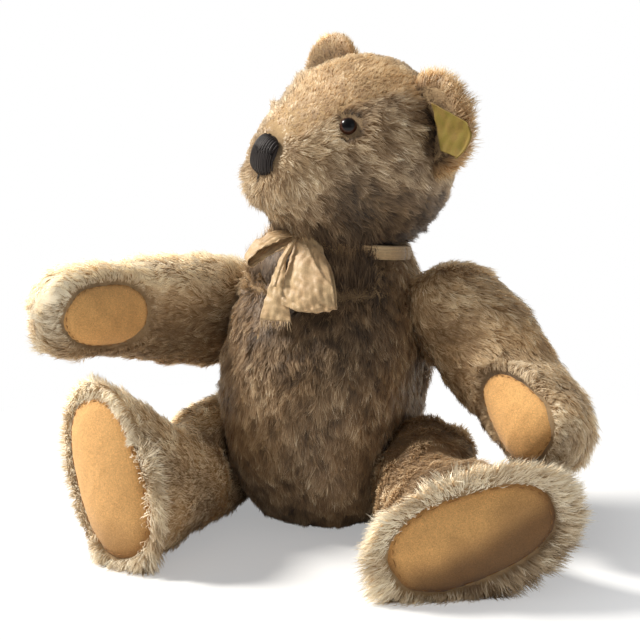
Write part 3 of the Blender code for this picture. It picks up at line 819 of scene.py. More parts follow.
def ramp(tree, fac, stops):
    """A colour ramp over a value."""
    made = node(tree, "ShaderNodeValToRGB", {"Fac": fac})
    line = made.color_ramp.elements
    for k, (place, colour) in enumerate(stops):
        spot = line[k] if k < 2 else line.new(place)
        spot.position, spot.color = place, colour
    return made.outputs["Color"]


def mixed(tree, fac, first, second, how="MIX"):
    """Two colours mixed by a value."""
    made = node(tree, "ShaderNodeMix", {0: fac, 6: first, 7: second}, data_type="RGBA", blend_type=how)
    return made.outputs[2]


def wear_group():
    """A shared group: blotches of dirt over a colour, and a fine grain for a bump."""
    if "Worn cloth" in bpy.data.node_groups:
        return bpy.data.node_groups["Worn cloth"]
    group = bpy.data.node_groups.new("Worn cloth", "ShaderNodeTree")
    face = group.interface
    for name, kind, value in (
        ("Colour", "NodeSocketColor", (0.5, 0.4, 0.3, 1)), ("Dirt", "NodeSocketColor", (0.2, 0.15, 0.1, 1)),
        ("Amount", "NodeSocketFloat", 0.4), ("Blotch size", "NodeSocketFloat", 60.0),
        ("Grain size", "NodeSocketFloat", 1500.0), ("Place", "NodeSocketVector", (0, 0, 0)),
    ):
        face.new_socket(name=name, in_out="INPUT", socket_type=kind).default_value = value
    face.new_socket(name="Colour", in_out="OUTPUT", socket_type="NodeSocketColor")
    face.new_socket(name="Grain", in_out="OUTPUT", socket_type="NodeSocketFloat")
    given = group.nodes.new("NodeGroupInput")
    out = group.nodes.new("NodeGroupOutput")
    blotch, grain = (
        node(group, "ShaderNodeTexNoise", {
            "Vector": given.outputs["Place"], "Scale": given.outputs[size],
            "Detail": detail, "Roughness": rough}).outputs["Fac"]
        for size, detail, rough in (("Blotch size", 4.0, 0.62), ("Grain size", 3.0, 0.7))
    )
    share = reckoned(group, "MULTIPLY", ranged(group, blotch, (0.38, 0.72), (0, 1)), given.outputs["Amount"])
    colour = mixed(group, share, given.outputs["Colour"], given.outputs["Dirt"])
    colour = mixed(group, 1.0, colour, ranged(group, grain, (0.25, 0.75), (0.82, 1.14)), "MULTIPLY")
    feed(group, out, {"Colour": colour, "Grain": grain})
    return group


def worn(tree, colour, dirt, amount, blotch, grain, place):
    """The shared wear group placed in a material."""
    made = node(tree, "ShaderNodeGroup", {
        "Colour": colour, "Dirt": dirt, "Amount": amount, "Blotch size": blotch, "Grain size": grain,
        "Place": place}, node_tree=wear_group())
    return made.outputs["Colour"], made.outputs["Grain"]


def bumped(tree, shader, height, strength, distance):
    """Raise the surface by a height."""
    made = node(tree, "ShaderNodeBump", {"Height": height, "Strength": strength, "Distance": distance})
    tree.links.new(made.outputs["Normal"], shader.inputs["Normal"])


def pile_finish(colours):
    """Mohair: tone along each hair on one side of its map, grey to gold on the other."""
    mat, tree, shader = fresh("mohair pile")
    parts = node(tree, "ShaderNodeSeparateXYZ", {"Vector": map_place(tree)})
    grey, gold = (
        ramp(tree, parts.outputs["X"], [
            (place, getattr(colours, f"{hue}_{step}"))
            for place, step in ((0.0, "dark"), (1.0, "tip"), (0.33, "low"), (0.66, "high"))])
        for hue in ("pile", "gold")
    )
    colour = mixed(tree, parts.outputs["Y"], grey, gold)
    feed(tree, shader, {
        "Base Color": colour, "Roughness": 0.52, "Specular IOR Level": 0.35, "Sheen Weight": 0.15})
    # A hair seen from its back takes the light of its front, so that a fringe isn't dark
    behind = node(tree, "ShaderNodeNewGeometry").outputs["Backfacing"]
    through = node(tree, "ShaderNodeBsdfTranslucent", {"Color": colour})
    both = node(tree, "ShaderNodeMixShader", {0: behind, 1: shader.outputs[0], 2: through.outputs[0]})
    feed(tree, tree.nodes["Material Output"], {"Surface": both.outputs[0]})
    return mat


def cloth_finish(colours):
    """The woven back of the plush, with what is left of its shortest pile."""
    mat, tree, shader = fresh("plush backing")
    gold = point_value(tree, "Gold")
    base = mixed(tree, gold, colours.pile_low, colours.gold_high)
    dirt = mixed(tree, gold, colours.pile_dark, colours.gold_low)
    colour, grain = worn(tree, base, dirt, 0.6, 90.0, 1400.0, object_place(tree))
    feed(tree, shader, {"Base Color": colour, "Roughness": 0.95})
    bumped(tree, shader, grain, 0.8, 0.0008)
    return mat


def felt_finish(colours):
    """Thick wool felt, rubbed and soiled, darker toward its rim, with painted shade over one side of the left
    sole.
    """
    mat, tree, shader = fresh("pad felt")
    place = object_place(tree)
    rim = ranged(tree, point_value(tree, "Edge"), (0.86, 1.0), (0, 0.7))
    base = mixed(tree, rim, colours.felt, colours.felt_rim)
    # Painted shade on the left sole's lower, outer side; the right sole is darker towards its bottom
    soiled = reckoned(tree, "MULTIPLY", point_value(tree, "Soil"), 0.88)
    base = mixed(tree, soiled, base, colours.felt_dark_side)
    stain, _ = worn(tree, base, colours.felt_rim, 0.22, 60.0, 1700.0, place)
    colour, grain = worn(tree, stain, colours.felt_rim, 0.30, 700.0, 1700.0, place)
    feed(tree, shader, {"Base Color": colour, "Roughness": 0.96, "Sheen Weight": 0.12})
    bumped(tree, shader, grain, 0.55, 0.0005)
    return mat


def silk_finish(colours):
    """Old silk: fine threads across and along, with stained, browned patches."""
    mat, tree, shader = fresh("creased silk")
    long = node(tree, "ShaderNodeMapping", {"Vector": map_place(tree), "Scale": (18.0, 260.0, 1.0)})
    noise = node(tree, "ShaderNodeTexNoise", {"Vector": long.outputs[0], "Scale": 1.0, "Detail": 3.0})
    thin = noise.outputs["Fac"]
    base = mixed(tree, 1.0, colours.silk, ranged(tree, thin, (0.3, 0.7), (0.90, 1.06)), "MULTIPLY")
    colour, _ = worn(tree, base, colours.silk_stain, 0.45, 70.0, 900.0, object_place(tree))
    feed(tree, shader, {"Base Color": colour, "Roughness": 0.55, "Sheen Weight": 0.2})
    bumped(tree, shader, thin, 0.35, 0.0003)
    return mat


def tag_finish(colours):
    """A stiff ribbed cloth label, blank, stained and rubbed."""
    mat, tree, shader = fresh("tag cloth")
    wave = node(tree, "ShaderNodeTexWave", {
        "Vector": map_place(tree), "Scale": 26.0, "Distortion": 0.6, "Detail": 1.0}, bands_direction="Y")
    ribs = wave.outputs["Fac"]
    base = mixed(tree, 1.0, colours.tag, ranged(tree, ribs, (0, 1), (0.86, 1.05)), "MULTIPLY")
    colour, _ = worn(tree, base, colours.felt_rim, 0.45, 140.0, 1300.0, object_place(tree))
    feed(tree, shader, {"Base Color": colour, "Roughness": 0.72})
    bumped(tree, shader, ribs, 0.45, 0.0003)
    return mat


def thread_finish(name, colour, roughness):
    """Twisted thread with a little unevenness of colour."""
    mat, tree, shader = fresh(name)
    dark = (*(c * 0.5 for c in colour[:3]), 1)
    tint, grain = worn(tree, colour, dark, 0.6, 320.0, 2600.0, object_place(tree))
    feed(tree, shader, {"Base Color": tint, "Roughness": roughness})
    bumped(tree, shader, grain, 0.5, 0.0002)
    return mat


def glass_finish(colours):
    """A painted glass eye: black pupil, brown iris, under a clear gloss."""
    mat, tree, shader = fresh("eye glass")
    pupil = (0.003, 0.002, 0.002, 1)
    colour = ramp(tree, point_value(tree, "Out"), (
        (0.0, pupil), (1.0, colours.eye_rim), (0.27, pupil),
        (0.30, colours.eye), (0.42, colours.eye), (0.50, colours.eye_rim)))
    feed(tree, shader, {
        "Base Color": colour, "Roughness": 0.30, "Specular IOR Level": 0.15,
        "Coat Weight": 0.30, "Coat Roughness": 0.14})
    return mat


def plain_finish(name, colour, dark, roughness, blotch, metallic=0.0):
    """A finish for what is hidden inside: board, steel or wood wool."""
    mat, tree, shader = fresh(name)
    tint, grain = worn(tree, colour, dark, 0.6, blotch, 1200.0, object_place(tree))
    feed(tree, shader, {"Base Color": tint, "Roughness": roughness, "Metallic": metallic})
    bumped(tree, shader, grain, 0.4, 0.0004)
    return mat


def finish(name, maker, *values):
    """A finish by name, made the first time that it is asked for."""
    return bpy.data.materials.get(name) or maker(*values)


def share_out(count):
    """How many hairs to grow: the count scaled by the pile's fullness setting."""
    full = bpy.context.scene.bear_pile.fullness
    return int(count * full * (1.0))


def dress(skin, body, nodes):
    """Give a skin its cloth and let it stand for its solid."""
    obj = skin.obj
    obj.data.materials.append(finish("plush backing", cloth_finish, bpy.context.scene.bear_colours))
    obj.data.shade_smooth()
    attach(obj, body)
    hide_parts(*nodes)


def tint_skin(skin, gold):
    """Write how golden each point of a skin is."""
    point_values(skin.obj.data, "Gold", np.clip(gold, 0, 1))


# How the pile grows on each piece

def band_showing(points):
    """Where the ribbon round the neck isn't covered by hair: a short way on the left side."""
    right, _, back = camera_ways()
    return step_up(points @ np.array(right), 0.025, 0.029) * (points @ np.array(back) > -0.01)


def torso_pile(roots):
    """Brushed down the body, thin and streaked over the belly, hanging over the ribbon at the neck, with
    painted shade darkening the chest under the head and the front of the left side under the arm.
    """
    height = roots.at[:, 2]
    roots.way = -roots.way + np.array([0.0, 0.0, -0.4])
    patch, fine = waves(roots.at, 0.045, 11), waves(roots.at, 0.016, 12)
    streak = waves(roots.at * np.array([1, 1, 0.28]), 0.0075, 14)
    roots.length = 0.0094 + 0.0016 * patch + 0.0011 * fine
    roots.lift = 0.50 + 0.15 * fine
    front = step_up(-roots.normal[:, 1], -0.1, 0.6)
    # Painted shade: the chest under the head and the front of the bear's left side under its arm get a darker
    # tone, fewer pale tips and less gold
    chest_shade = front * step_up(height, 0.095, 0.135)
    under_arm_shade = step_up(roots.at[:, 0], -0.040, 0.010)
    roots.tone = 0.40 + 0.05 * patch + 0.05 * fine + 0.08 * streak - 0.13 * chest_shade - 0.10 * front * under_arm_shade
    roots.pale = np.clip(0.85 + 0.5 * patch - 0.9 * chest_shade, 0, 1)
    roots.gold = 0.22 + 0.12 * waves(roots.at, 0.06, 13) + 0.12 * (1 - front * under_arm_shade)
    collar = step_up(height, 0.139, 0.146) * step_up(-roots.normal[:, 1], -0.3, 0.1)
    showing = step_up(height, 0.139, 0.146) * band_showing(roots.at)
    collar = collar * (1 - showing)
    roots.way = roots.way * (1 - collar)[:, None] + np.array([0.0, -0.1, 1.0]) * collar[:, None]
    roots.lift = roots.lift * (1 - collar) + 1.05 * collar
    roots.length = roots.length * (1 - 0.3 * showing) * (1 + 0.65 * collar)
    # Painted shade: the collar hair under the chin is a little darker
    roots.tone = roots.tone - 0.03 * collar
    return roots


def head_places(points):
    """Points in the head's own directions, in mm: right, forward and up."""
    back = np.array(head_matrix().inverted())
    local = points @ back[:3, :3].T + back[:3, 3]
    return local * np.array([1, -1, 1]) / MM


def gusset(local):
    """How far a place lies on the worn strip from the nose over the crown."""
    width = 9 + (76 - local[:, 1]) * 0.44
    inside = 1 - step_up(np.abs(local[:, 0]) - width, -3, 3)
    return inside * step_up(local[:, 2] + 0.10 * (76 - local[:, 1]), -2, 8)


def head_pile(roots):
    """Short and worn gold on the crown, longer and greyer below the seam, pale at the muzzle, with painted
    shade under the jaw, round each eye and beside the ear tag.
    """
    local = head_places(roots.at)
    right, forward, up = local.T
    worn_top = gusset(local)
    patch, fine = waves(roots.at, 0.040, 21), waves(roots.at, 0.014, 22)
    muzzle = step_up(forward, 40, 60)
    jaw_shade = step_up(-up, -4, 26) * (1 - muzzle)
    turn = head_matrix().to_3x3()
    out = np.array(turn @ Vector((0, 0, -1)))
    roots.way = -roots.way + out * 0.55 * (1 - worn_top)[:, None]
    side_way = np.array(turn @ Vector((1, 0, 0))) * np.sign(right)[:, None]
    roots.way = roots.way + side_way * (0.35 * (1 - worn_top) * (1 - muzzle))[:, None]
    long = 0.0105 + 0.0015 * patch + 0.0011 * fine
    roots.length = long * (1 - worn_top) + (0.0046 + 0.0006 * patch) * worn_top
    chin = muzzle * step_up(-up, 14, 24)
    roots.length = roots.length * (1 - 0.42 * muzzle * (1 - chin)) + 0.001 * chin
    neck, facing = np.array(NECK[0]) * MM, unit(np.array(NECK[1]))
    collar = 1 - step_up((roots.at - neck) @ facing, 0.006, 0.016)
    collar = collar * step_up(-roots.normal[:, 1], -0.4, 0.1)
    collar = collar * (1 - band_showing(roots.at))
    roots.way = roots.way * (1 - 0.8 * collar)[:, None] - facing * (1.4 * collar)[:, None]
    roots.length = roots.length + 0.0070 * collar
    roots.lift = 0.50 + 0.18 * fine + 0.20 * chin + 0.25 * worn_top
    roots.lift = roots.lift * (1 - collar) + 0.85 * collar
    seam = (1 - worn_top) * (1 - step_up(-up, -14, 12))
    streak = waves(roots.at * np.array([1, 1, 0.35]), 0.008, 24)
    roots.tone = 0.40 + 0.05 * patch + 0.05 * fine + 0.17 * worn_top
    # Painted shade: the jaw under the head is darker, with fewer pale tips
    roots.tone = roots.tone + 0.10 * muzzle * (1 - worn_top) - 0.26 * jaw_shade
    roots.tone = roots.tone + 0.09 * streak * (1 - worn_top) + 0.06 * seam
    roots.pale = np.clip(0.40 + 0.8 * seam + 0.6 * muzzle - 0.5 * jaw_shade + 0.3 * patch - 0.4 * worn_top, 0, 1.2)
    roots.gold = 0.12 + 0.10 * patch + 0.58 * worn_top + 0.12 * muzzle * (1 - worn_top)
    for row in TAG:
        far = np.linalg.norm(roots.at - np.array(row[0]) * MM, axis=1)
        shade = 1 - step_up(far, 0.007, 0.015)
        roots.tone = roots.tone - 0.42 * shade
        roots.pale = roots.pale * (1 - shade)
        roots.length = roots.length * (1 - 0.5 * shade)
    keep = np.ones(len(roots.at), bool)
    for place, _ in EYE_AT.values():
        away = local - np.array(place)
        far = np.linalg.norm(away, axis=1) + (2.0 if place[0] < 0 else 0.0)
        near = 1 - step_up(far, 6.5, 13)
        push = (unit(away) * np.array([1, -1, 1])) @ np.array(turn).T
        roots.way = roots.way * (1 - near[:, None] * 0.75) + push * near[:, None] * 0.9
        roots.length = roots.length * (1 - 0.55 * near)
        # Painted shade in the recess round each eye: its hair is darker and has no pale tips
        roots.tone = roots.tone - 0.34 * (1 - step_up(far, 6, 10.5))
        roots.pale = roots.pale * step_up(far, 7, 12)
        keep &= far > 5.9
    nose = (local - np.array((NOSE_AT[0], -NOSE_AT[1], NOSE_AT[2]))) / (np.array(NOSE_HALF) / MM)
    near = np.linalg.norm(nose * np.array([1, 0.9, 1]), axis=1)
    keep &= near > 1.04
    roots.length *= 0.55 + 0.45 * step_up(near, 1.0, 1.9)
    return roots.keep(keep)


def limb_pile(roots, name):
    """Brushed along the limb; a long pale fringe round the foot or paw; painted light on each limb's top, and
    painted shade on the lower side of the left foot.
    """
    arm = name.startswith("arm")
    pad = pad_frame(name)
    ratio, height = pad_place(roots.at, pad)
    middle, _, _, way, *_ = pad
    near_side = on_pad_side(name, height)
    keep = ~((ratio < 0.975) & near_side)
    patch, fine = waves(roots.at, 0.040, 31), waves(roots.at, 0.015, 32)
    end = step_up(roots.share, 0.62, 0.95)
    roots.length = 0.0094 + 0.0015 * patch + 0.0011 * fine + (0.0026 if arm else 0.0065) * end
    roots.lift = 0.50 + 0.16 * fine + 0.12 * end
    radial = unit((roots.at - np.array(middle)) - np.array(way) * height[:, None])
    edge = (1 - step_up(ratio, 1.0, 1.45)) * near_side
    brim = (1 - step_up(ratio, 0.99, 1.16)) * near_side
    if arm:
        roots.way = roots.way * (1 - 0.8 * edge)[:, None] + radial * edge[:, None]
        roots.length = roots.length * (1 - 0.45 * edge)
        roots.lift = roots.lift + 0.25 * edge
    else:
        edge = edge + (1 - edge) * 0.55 * end
        rubbed = end * worn_side(radial, name)
        roots.way = roots.way * (1 - 0.55 * edge)[:, None] + radial * (edge * (1 - rubbed))[:, None] * 0.95
        roots.lift = roots.lift + 0.20 * edge * (1 - rubbed)
        roots.length = roots.length * (1 - 0.72 * rubbed)
    rng = np.random.default_rng(131)
    roots.length = roots.length * (1 - brim * rng.uniform(0.0, 0.75, len(brim)))
    roots.lift = roots.lift + 0.45 * brim
    # Painted light: each limb's top is lighter, as if lit from above
    top = step_up(roots.normal[:, 2], -0.2, 0.7)
    base, last, top_light = LIMB_TONE[name]
    roots.tone = base + (last - base) * end + 0.05 * patch + 0.06 * fine
    roots.tone = roots.tone + top * top_light
    roots.pale = np.clip(0.55 + 0.3 * patch + 0.5 * end, 0, 1.2)
    if name == "leg_left":
        right = np.array(camera_ways()[0])
        # Painted shade: the lower, outer side of the left foot's fringe is darker
        shaded_low_side = step_up(radial @ (right * 0.6 - np.array([0.0, 0.0, 0.8])), 0.1, 0.8)
        roots.tone = roots.tone - 0.34 * end * shaded_low_side
    roots.gold = 0.38 + 0.12 * waves(roots.at, 0.06, 33) - 0.30 * end + (0.08 if name == "arm_left" else 0.0)
    return roots.keep(keep)


def worn_side(radial, name):
    """Where the fringe of a foot is rubbed short: on the outer side and top of the right foot."""
    if name != "leg_right":
        return np.zeros(len(radial))
    outer = step_up(-radial[:, 0], -0.15, 0.45)
    top = step_up(radial[:, 2], 0.55, 0.95)
    return np.maximum(outer, top * 0.8)


def ear_pile(roots, side):
    """Long gold on the rim and back, short and brown in the hollow, with painted shade darkening the hollow,
    most toward its lower part.
    """
    back = np.array(ear_matrix(side).inverted())
    local = roots.at @ back[:3, :3].T + back[:3, 3]
    x, _, z = (local / np.array(EAR_HALF)).T
    rim = step_up(np.hypot(x, z), 0.74, 1.0)
    turn = np.array(ear_matrix(side).to_3x3())
    front = step_up(-roots.normal @ (turn @ np.array([0, 1, 0])), -0.1, 0.5)
    roots.way = unit(np.stack([x, np.zeros_like(x), z + 0.55], 1)) @ turn.T
    fine = waves(roots.at, 0.010, 42)
    hollow = front * (1 - rim)
    roots.length = 0.0066 + (0.0064 if side > 0 else 0.0006) * rim - 0.0022 * hollow + 0.0008 * fine
    roots.lift = 0.55 + 0.20 * rim - 0.2 * hollow
    # Painted shade: the hollow is darker, most toward its lower part
    roots.tone = 0.52 + 0.12 * rim - 0.48 * hollow * step_up(-z, -0.75, 0.05) - 0.10 * hollow + 0.06 * fine
    roots.pale = np.clip(0.2 + 0.6 * rim - 0.6 * hollow, 0, 1)
    roots.gold = 0.62 + 0.22 * rim - 0.2 * hollow
    return roots


# Settings shown in the sidebar

def colour_setting(name, about, value):
    """One colour that a user may change."""
    return bpy.props.FloatVectorProperty(
        name=name, description=about, subtype="COLOR", size=4, min=0, max=1, default=linear(*value))


class BearPile(bpy.types.PropertyGroup):
    """How full the pile is."""

    fullness: bpy.props.FloatProperty(
        name="Fullness", description="Share of the hairs that are grown", default=1.0, min=0.05, max=1.2)
    hair_width: bpy.props.FloatProperty(
        name="Hair width", description="Width of one hair at its middle", default=0.00040,
        min=0.0001, max=0.002, unit="LENGTH", precision=5)


class BearColours(bpy.types.PropertyGroup):
    """Colours of the bear's cloths and threads."""

    pile_dark: colour_setting("Pile, dark", "Grey-brown pile at its root", (50, 39, 29))
    pile_low: colour_setting("Pile, low", "Grey-brown pile in shade", (130, 108, 83))
    pile_high: colour_setting("Pile, high", "Grey-brown pile in light", (200, 181, 152))
    pile_tip: colour_setting("Pile, tips", "Bleached tips of the pile", (252, 243, 222))
    gold_dark: colour_setting("Gold, dark", "Golden pile at its root", (84, 60, 38))
    gold_low: colour_setting("Gold, low", "Golden pile in shade", (160, 126, 85))
    gold_high: colour_setting("Gold, high", "Golden pile in light", (206, 173, 127))
    gold_tip: colour_setting("Gold, tips", "Bright tips of the golden pile", (252, 236, 200))
    felt: colour_setting("Felt", "Pads of the paws and feet", (236, 182, 114))
    felt_rim: colour_setting("Felt, soiled", "Dirt on the pads and the tag", (150, 106, 60))
    # Painted shade on the left sole, and the darker bottom of the right sole
    felt_dark_side: colour_setting("Felt, darkened", "The darkest side of a sole", (88, 62, 41))
    silk: colour_setting("Silk", "The bow and neck ribbon", (206, 176, 132))
    silk_stain: colour_setting("Silk, stained", "Browned places of the silk", (150, 98, 52))
    tag: colour_setting("Tag", "The blank tag in the ear", (130, 112, 36))
    thread: colour_setting("Nose thread", "Thread of the nose and mouth", (38, 28, 25))
    seam: colour_setting("Seam thread", "Stitches round the pads", (170, 122, 72))
    eye: colour_setting("Eye", "Brown glass", (58, 30, 18))
    eye_rim: colour_setting("Eye rim", "Edge of the glass", (58, 40, 30))


class BearStage(bpy.types.PropertyGroup):
    """Light and floor."""

    key: bpy.props.FloatProperty(
        name="Key light", description="Strength of the sun-like light", default=5.2, min=0)
    fill: bpy.props.FloatProperty(
        name="Fill light", description="Strength of the soft light", default=0.14, min=0)
    sky: bpy.props.FloatProperty(name="Sky", description="Light from all round", default=0.22, min=0)
    floor: colour_setting("Floor", "The pale floor", (240, 240, 240))


# Operators, one for each group of pieces

class BEAR_OT_torso(bpy.types.Operator):
    """Make the torso's plush and brush its pile"""

    bl_idname = "bear.torso"
    bl_label = "Torso"

    def execute(self, context):
        skin = Skin("torso_skin", torso_rings(RINGS_FINER, BODY_POINTS), 0.0011, 3)
        dress(skin, "torso", ["torso_plush"])
        tint_skin(skin, 0.35 + 0.2 * waves(skin.at, 0.06, 13))
        hidden = 1 - step_up(skin.at[:, 2], 0.172, 0.177)
        for part, sign in (("front", -1), ("back", 1)):
            wanted = hidden * (sign * (skin.normal[:, 1] + 0.12) > -0.02)
            roots = torso_pile(skin.roots(share_out(HAIRS[f"torso_{part}"]), 50 + sign, wanted))
            grow(f"torso_pile_{part}", roots, "torso", 60 + sign)
        return {"FINISHED"}


class BEAR_OT_head(bpy.types.Operator):
    """Make the head's plush with its eye sockets, and its pile"""

    bl_idname = "bear.head"
    bl_label = "Head"

    def execute(self, context):
        skin = Skin("head_skin", head_rings(RINGS_FINER, BODY_POINTS), 0.0008, 5)
        local = head_places(skin.at)
        for place, _ in EYE_AT.values():
            far = np.linalg.norm(local - np.array(place), axis=1)
            skin.push(-0.0026 * np.exp(-(far / 6.5) ** 2))
        dress(skin, "head", ["head_plush"])
        tint_skin(skin, 0.25 + 0.65 * gusset(local))
        wanted = 1 + 0.5 * step_up(local[:, 1], 30, 60)
        roots = head_pile(skin.roots(share_out(HAIRS["head"]), 71, wanted))
        grow("head_pile", roots, "head", 72)
        return {"FINISHED"}


class BEAR_OT_ears(bpy.types.Operator):
    """Make the two cupped ears with their fringes"""

    bl_idname = "bear.ears"
    bl_label = "Ears"

    def execute(self, context):
        for side, name in ((1, "left"), (-1, "right")):
            skin = Skin(f"ear_skin_{name}", ear_rings(side, EAR_POINTS), 0.0004, 8)
            dress(skin, "head", [f"ear_{name}"])
            tint_skin(skin, np.full(len(skin.at), 0.5))
            roots = ear_pile(skin.roots(share_out(HAIRS["ear"]), 80 + side), side)
            grow(f"ear_pile_{name}", roots, "head", 82 + side, gather=(0.35, 0.10))
        return {"FINISHED"}


class BEAR_OT_limbs(bpy.types.Operator):
    """Make the arms and legs with their pile"""

    bl_idname = "bear.limbs"
    bl_label = "Arms and legs"

    def execute(self, context):
        for k, name in enumerate(LIMBS):
            skin = Skin(f"{name}_skin", limb_rings(name, RINGS_FINER, LIMB_POINTS), 0.0009, 90 + k)
            ratio, height = pad_place(skin.at, pad_frame(name))
            near_side = on_pad_side(name, height)
            under = (1 - step_up(ratio, 0.86, 1.0)) * near_side
            skin.push(-0.0022 * under)
            dress(skin, name, [f"{name}_plush"])
            tint_skin(skin, 0.35 + 0.2 * waves(skin.at, 0.06, 33))
            wanted = 1 + 1.6 * (1 - step_up(ratio, 1.04, 1.25)) * near_side
            wanted = wanted * (1 - (ratio < 0.90) * near_side)
            kind = kind_of(name)
            roots = limb_pile(skin.roots(share_out(HAIRS[kind]), 95 + k, wanted), name)
            combing = {"stray": 0.22, "gather": (0.34, 0.16), "frizz": 0.040} if kind == "leg" else {}
            grow(f"{name}_pile", roots, name, 99 + k, **combing)
        return {"FINISHED"}


def pad_grid(name, rows, count):
    """Places on a pad from its middle to its rim, and the surface height there."""
    middle, across, along, way, long, wide, pointed = pad_frame(name)
    surface = None
    if name.startswith("arm"):
        rings = limb_rings(name, RINGS_FINER, LIMB_POINTS)
        points = [p for points in rings for p in points]
        surface = BVHTree.FromPolygons(points, grid_faces_round(len(rings), LIMB_POINTS))
    grid = []
    for r in range(rows + 1):
        part = r / rows
        line = []
        for k in range(count):
            turn = 2 * math.pi * k / count
            ahead = math.copysign(abs(math.cos(turn)) ** (2 / PAD_SQUARE), math.cos(turn))
            aside = math.copysign(abs(math.sin(turn)) ** (2 / PAD_SQUARE), math.sin(turn))
            x = aside * wide * (1 - pointed * ahead) * part
            y = ahead * long * part
            spot = middle + across * x + along * y
            height = 0.0
            if surface:
                hit = surface.ray_cast(spot + way * 0.03, -way, 0.06)[0]
                height = (hit - spot).dot(way) if hit is not None else 0.0
            line.append((spot, height))
        grid.append(line)
    return grid, way


def pad_darker_side(name, points):
    """How much darker each point of a pad is: painted shade over the left sole's lower, outer side, and the
    right sole darker towards its bottom.
    """
    middle, _, _, _, long, wide, _ = pad_frame(name)
    if name == "leg_right":
        low = (points - np.array(middle)) @ np.array([0.0, 0.0, -1.0]) / long
        return 0.5 * step_up(low, 0.1, 1.0)
    if name != "leg_left":
        return np.zeros(len(points))
    # Painted shade over the lower, outer side of the left sole
    right = np.array(camera_ways()[0])
    low = (points - np.array(middle)) @ unit(right * 0.52 - np.array([0.0, 0.0, 0.85])) / wide
    return step_up(low + 0.12 * waves(points, 0.02, 77), -0.55, 0.55)


def felt_pad(name, pad_name, mat):
    """A crowned felt pad that follows its paw or sole, with a groove where it is sewn."""
    grid, way = pad_grid(name, PAD_ROWS, PAD_ROUND)
    crown, sunk = PAD_CROWN[kind_of(name)], PAD_SUNK[kind_of(name)]
    verts, edge, heights = [], [], []
    for r, line in enumerate(grid):
        part = r / PAD_ROWS
        rise = crown * (1 - part ** 2.2) - 0.0016 * step_up(np.array(part), 0.90, 1.0)
        heights.append([height - sunk + rise for _, height in line])
        dip = 0.0003 * math.exp(-((part - 0.90) / 0.035) ** 2)
        verts += [spot + way * (height - dip) for (spot, _), height in zip(line, heights[r])]
        edge += [part] * PAD_ROUND
    under = range(PAD_ROWS, -1, -7)
    for r in under:
        verts += [spot + way * (height - 0.0022) for (spot, _), height in zip(grid[r], heights[r])]
        edge += [r / PAD_ROWS] * PAD_ROUND
    cloud = [tuple(v) for v in verts]
    mesh = bpy.data.meshes.new(pad_name)
    mesh.from_pydata(cloud, [], grid_faces_round(len(grid) + len(under), PAD_ROUND))
    point_values(mesh, "Edge", edge)
    point_values(mesh, "Soil", pad_darker_side(name, np.array(cloud)))
    obj = placed(pad_name, mesh)
    mesh.materials.append(mat)
    faced_out(obj, 0.00002)
    points = np.array([tuple(v.co) for v in mesh.vertices])
    bump = 0.00025 * waves(points, 0.012, 7) + 0.0001 * waves(points, 0.004, 9)
    for vert, amount in zip(mesh.vertices, bump):
        vert.co += way * float(amount)
    mesh.shade_smooth()
    return obj, grid, heights, way


def pad_stitches(pad_name, grid, heights, way, mat):
    """Running stitches just inside the rim of a pad."""
    row = len(grid) - 2
    line = [spot + way * (height + 0.00015) for (spot, _), height in zip(grid[row], heights[row])]
    parts = []
    count = len(line)
    for k in range(0, count, 2):
        a, b = line[k], line[(k + 1) % count]
        ends = [a + (b - a) * part for part in (-0.05, 0.25, 0.75, 1.05)]
        rise = (-0.0003, 0.00012, 0.00012, -0.0003)
        parts.append(thread([tuple(p + way * up) for p, up in zip(ends, rise)], 0.00023))
    return joined_mesh(f"{pad_name}_stitches", parts, mat)


class BEAR_OT_pads(bpy.types.Operator):
    """Make the felt pads of the paws and feet, and their stitches"""

    bl_idname = "bear.pads"
    bl_label = "Felt pads"

    def execute(self, context):
        colours = context.scene.bear_colours
        felt = finish("pad felt", felt_finish, colours)
        seam = finish("seam thread", thread_finish, "seam thread", tuple(colours.seam), 0.8)
        for name in LIMBS:
            side = name.split("_")[1]
            pad_name = f"paw_pad_{side}" if name.startswith("arm") else f"sole_pad_{side}"
            obj, grid, heights, way = felt_pad(name, f"{pad_name}_felt", felt)
            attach(obj, name)
            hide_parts(pad_name)
            sewn = pad_stitches(pad_name, grid, heights, way, seam)
            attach(sewn, name)
        return {"FINISHED"}


class BEAR_OT_eyes(bpy.types.Operator):
    """Make the two glass eyes"""

    bl_idname = "bear.eyes"
    bl_label = "Eyes"

    def execute(self, context):
        mat = finish("eye glass", glass_finish, context.scene.bear_colours)
        for side, name in ((1, "left"), (-1, "right")):
            place, facing = EYE_AT[side]
            at = on_head(*place)
            way = (head_matrix().to_3x3() @ Vector((facing[0], -facing[1], facing[2]))).normalized()
            eye = ball(f"eye_{name}_glass", 32, 24, EYE_RADIUS, (1, 1, 0.86))
            out = [math.acos(max(-1, min(1, v.co.normalized().z))) / math.pi for v in eye.data.vertices]
            point_values(eye.data, "Out", out)
            turn = way.to_track_quat("Z", "Y").to_matrix().to_4x4()
            eye.data.transform(Matrix.Translation(at - way * EYE_SUNK[side]) @ turn)
            eye.data.materials.append(mat)
            eye.data.shade_smooth()
            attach(eye, "head")
            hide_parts(f"eye_{name}")
        return {"FINISHED"}


def on_head(right, forward, up):
    """A place given in the head's own directions in mm."""
    return head_matrix() @ (Vector((right, -forward, up)) * MM)


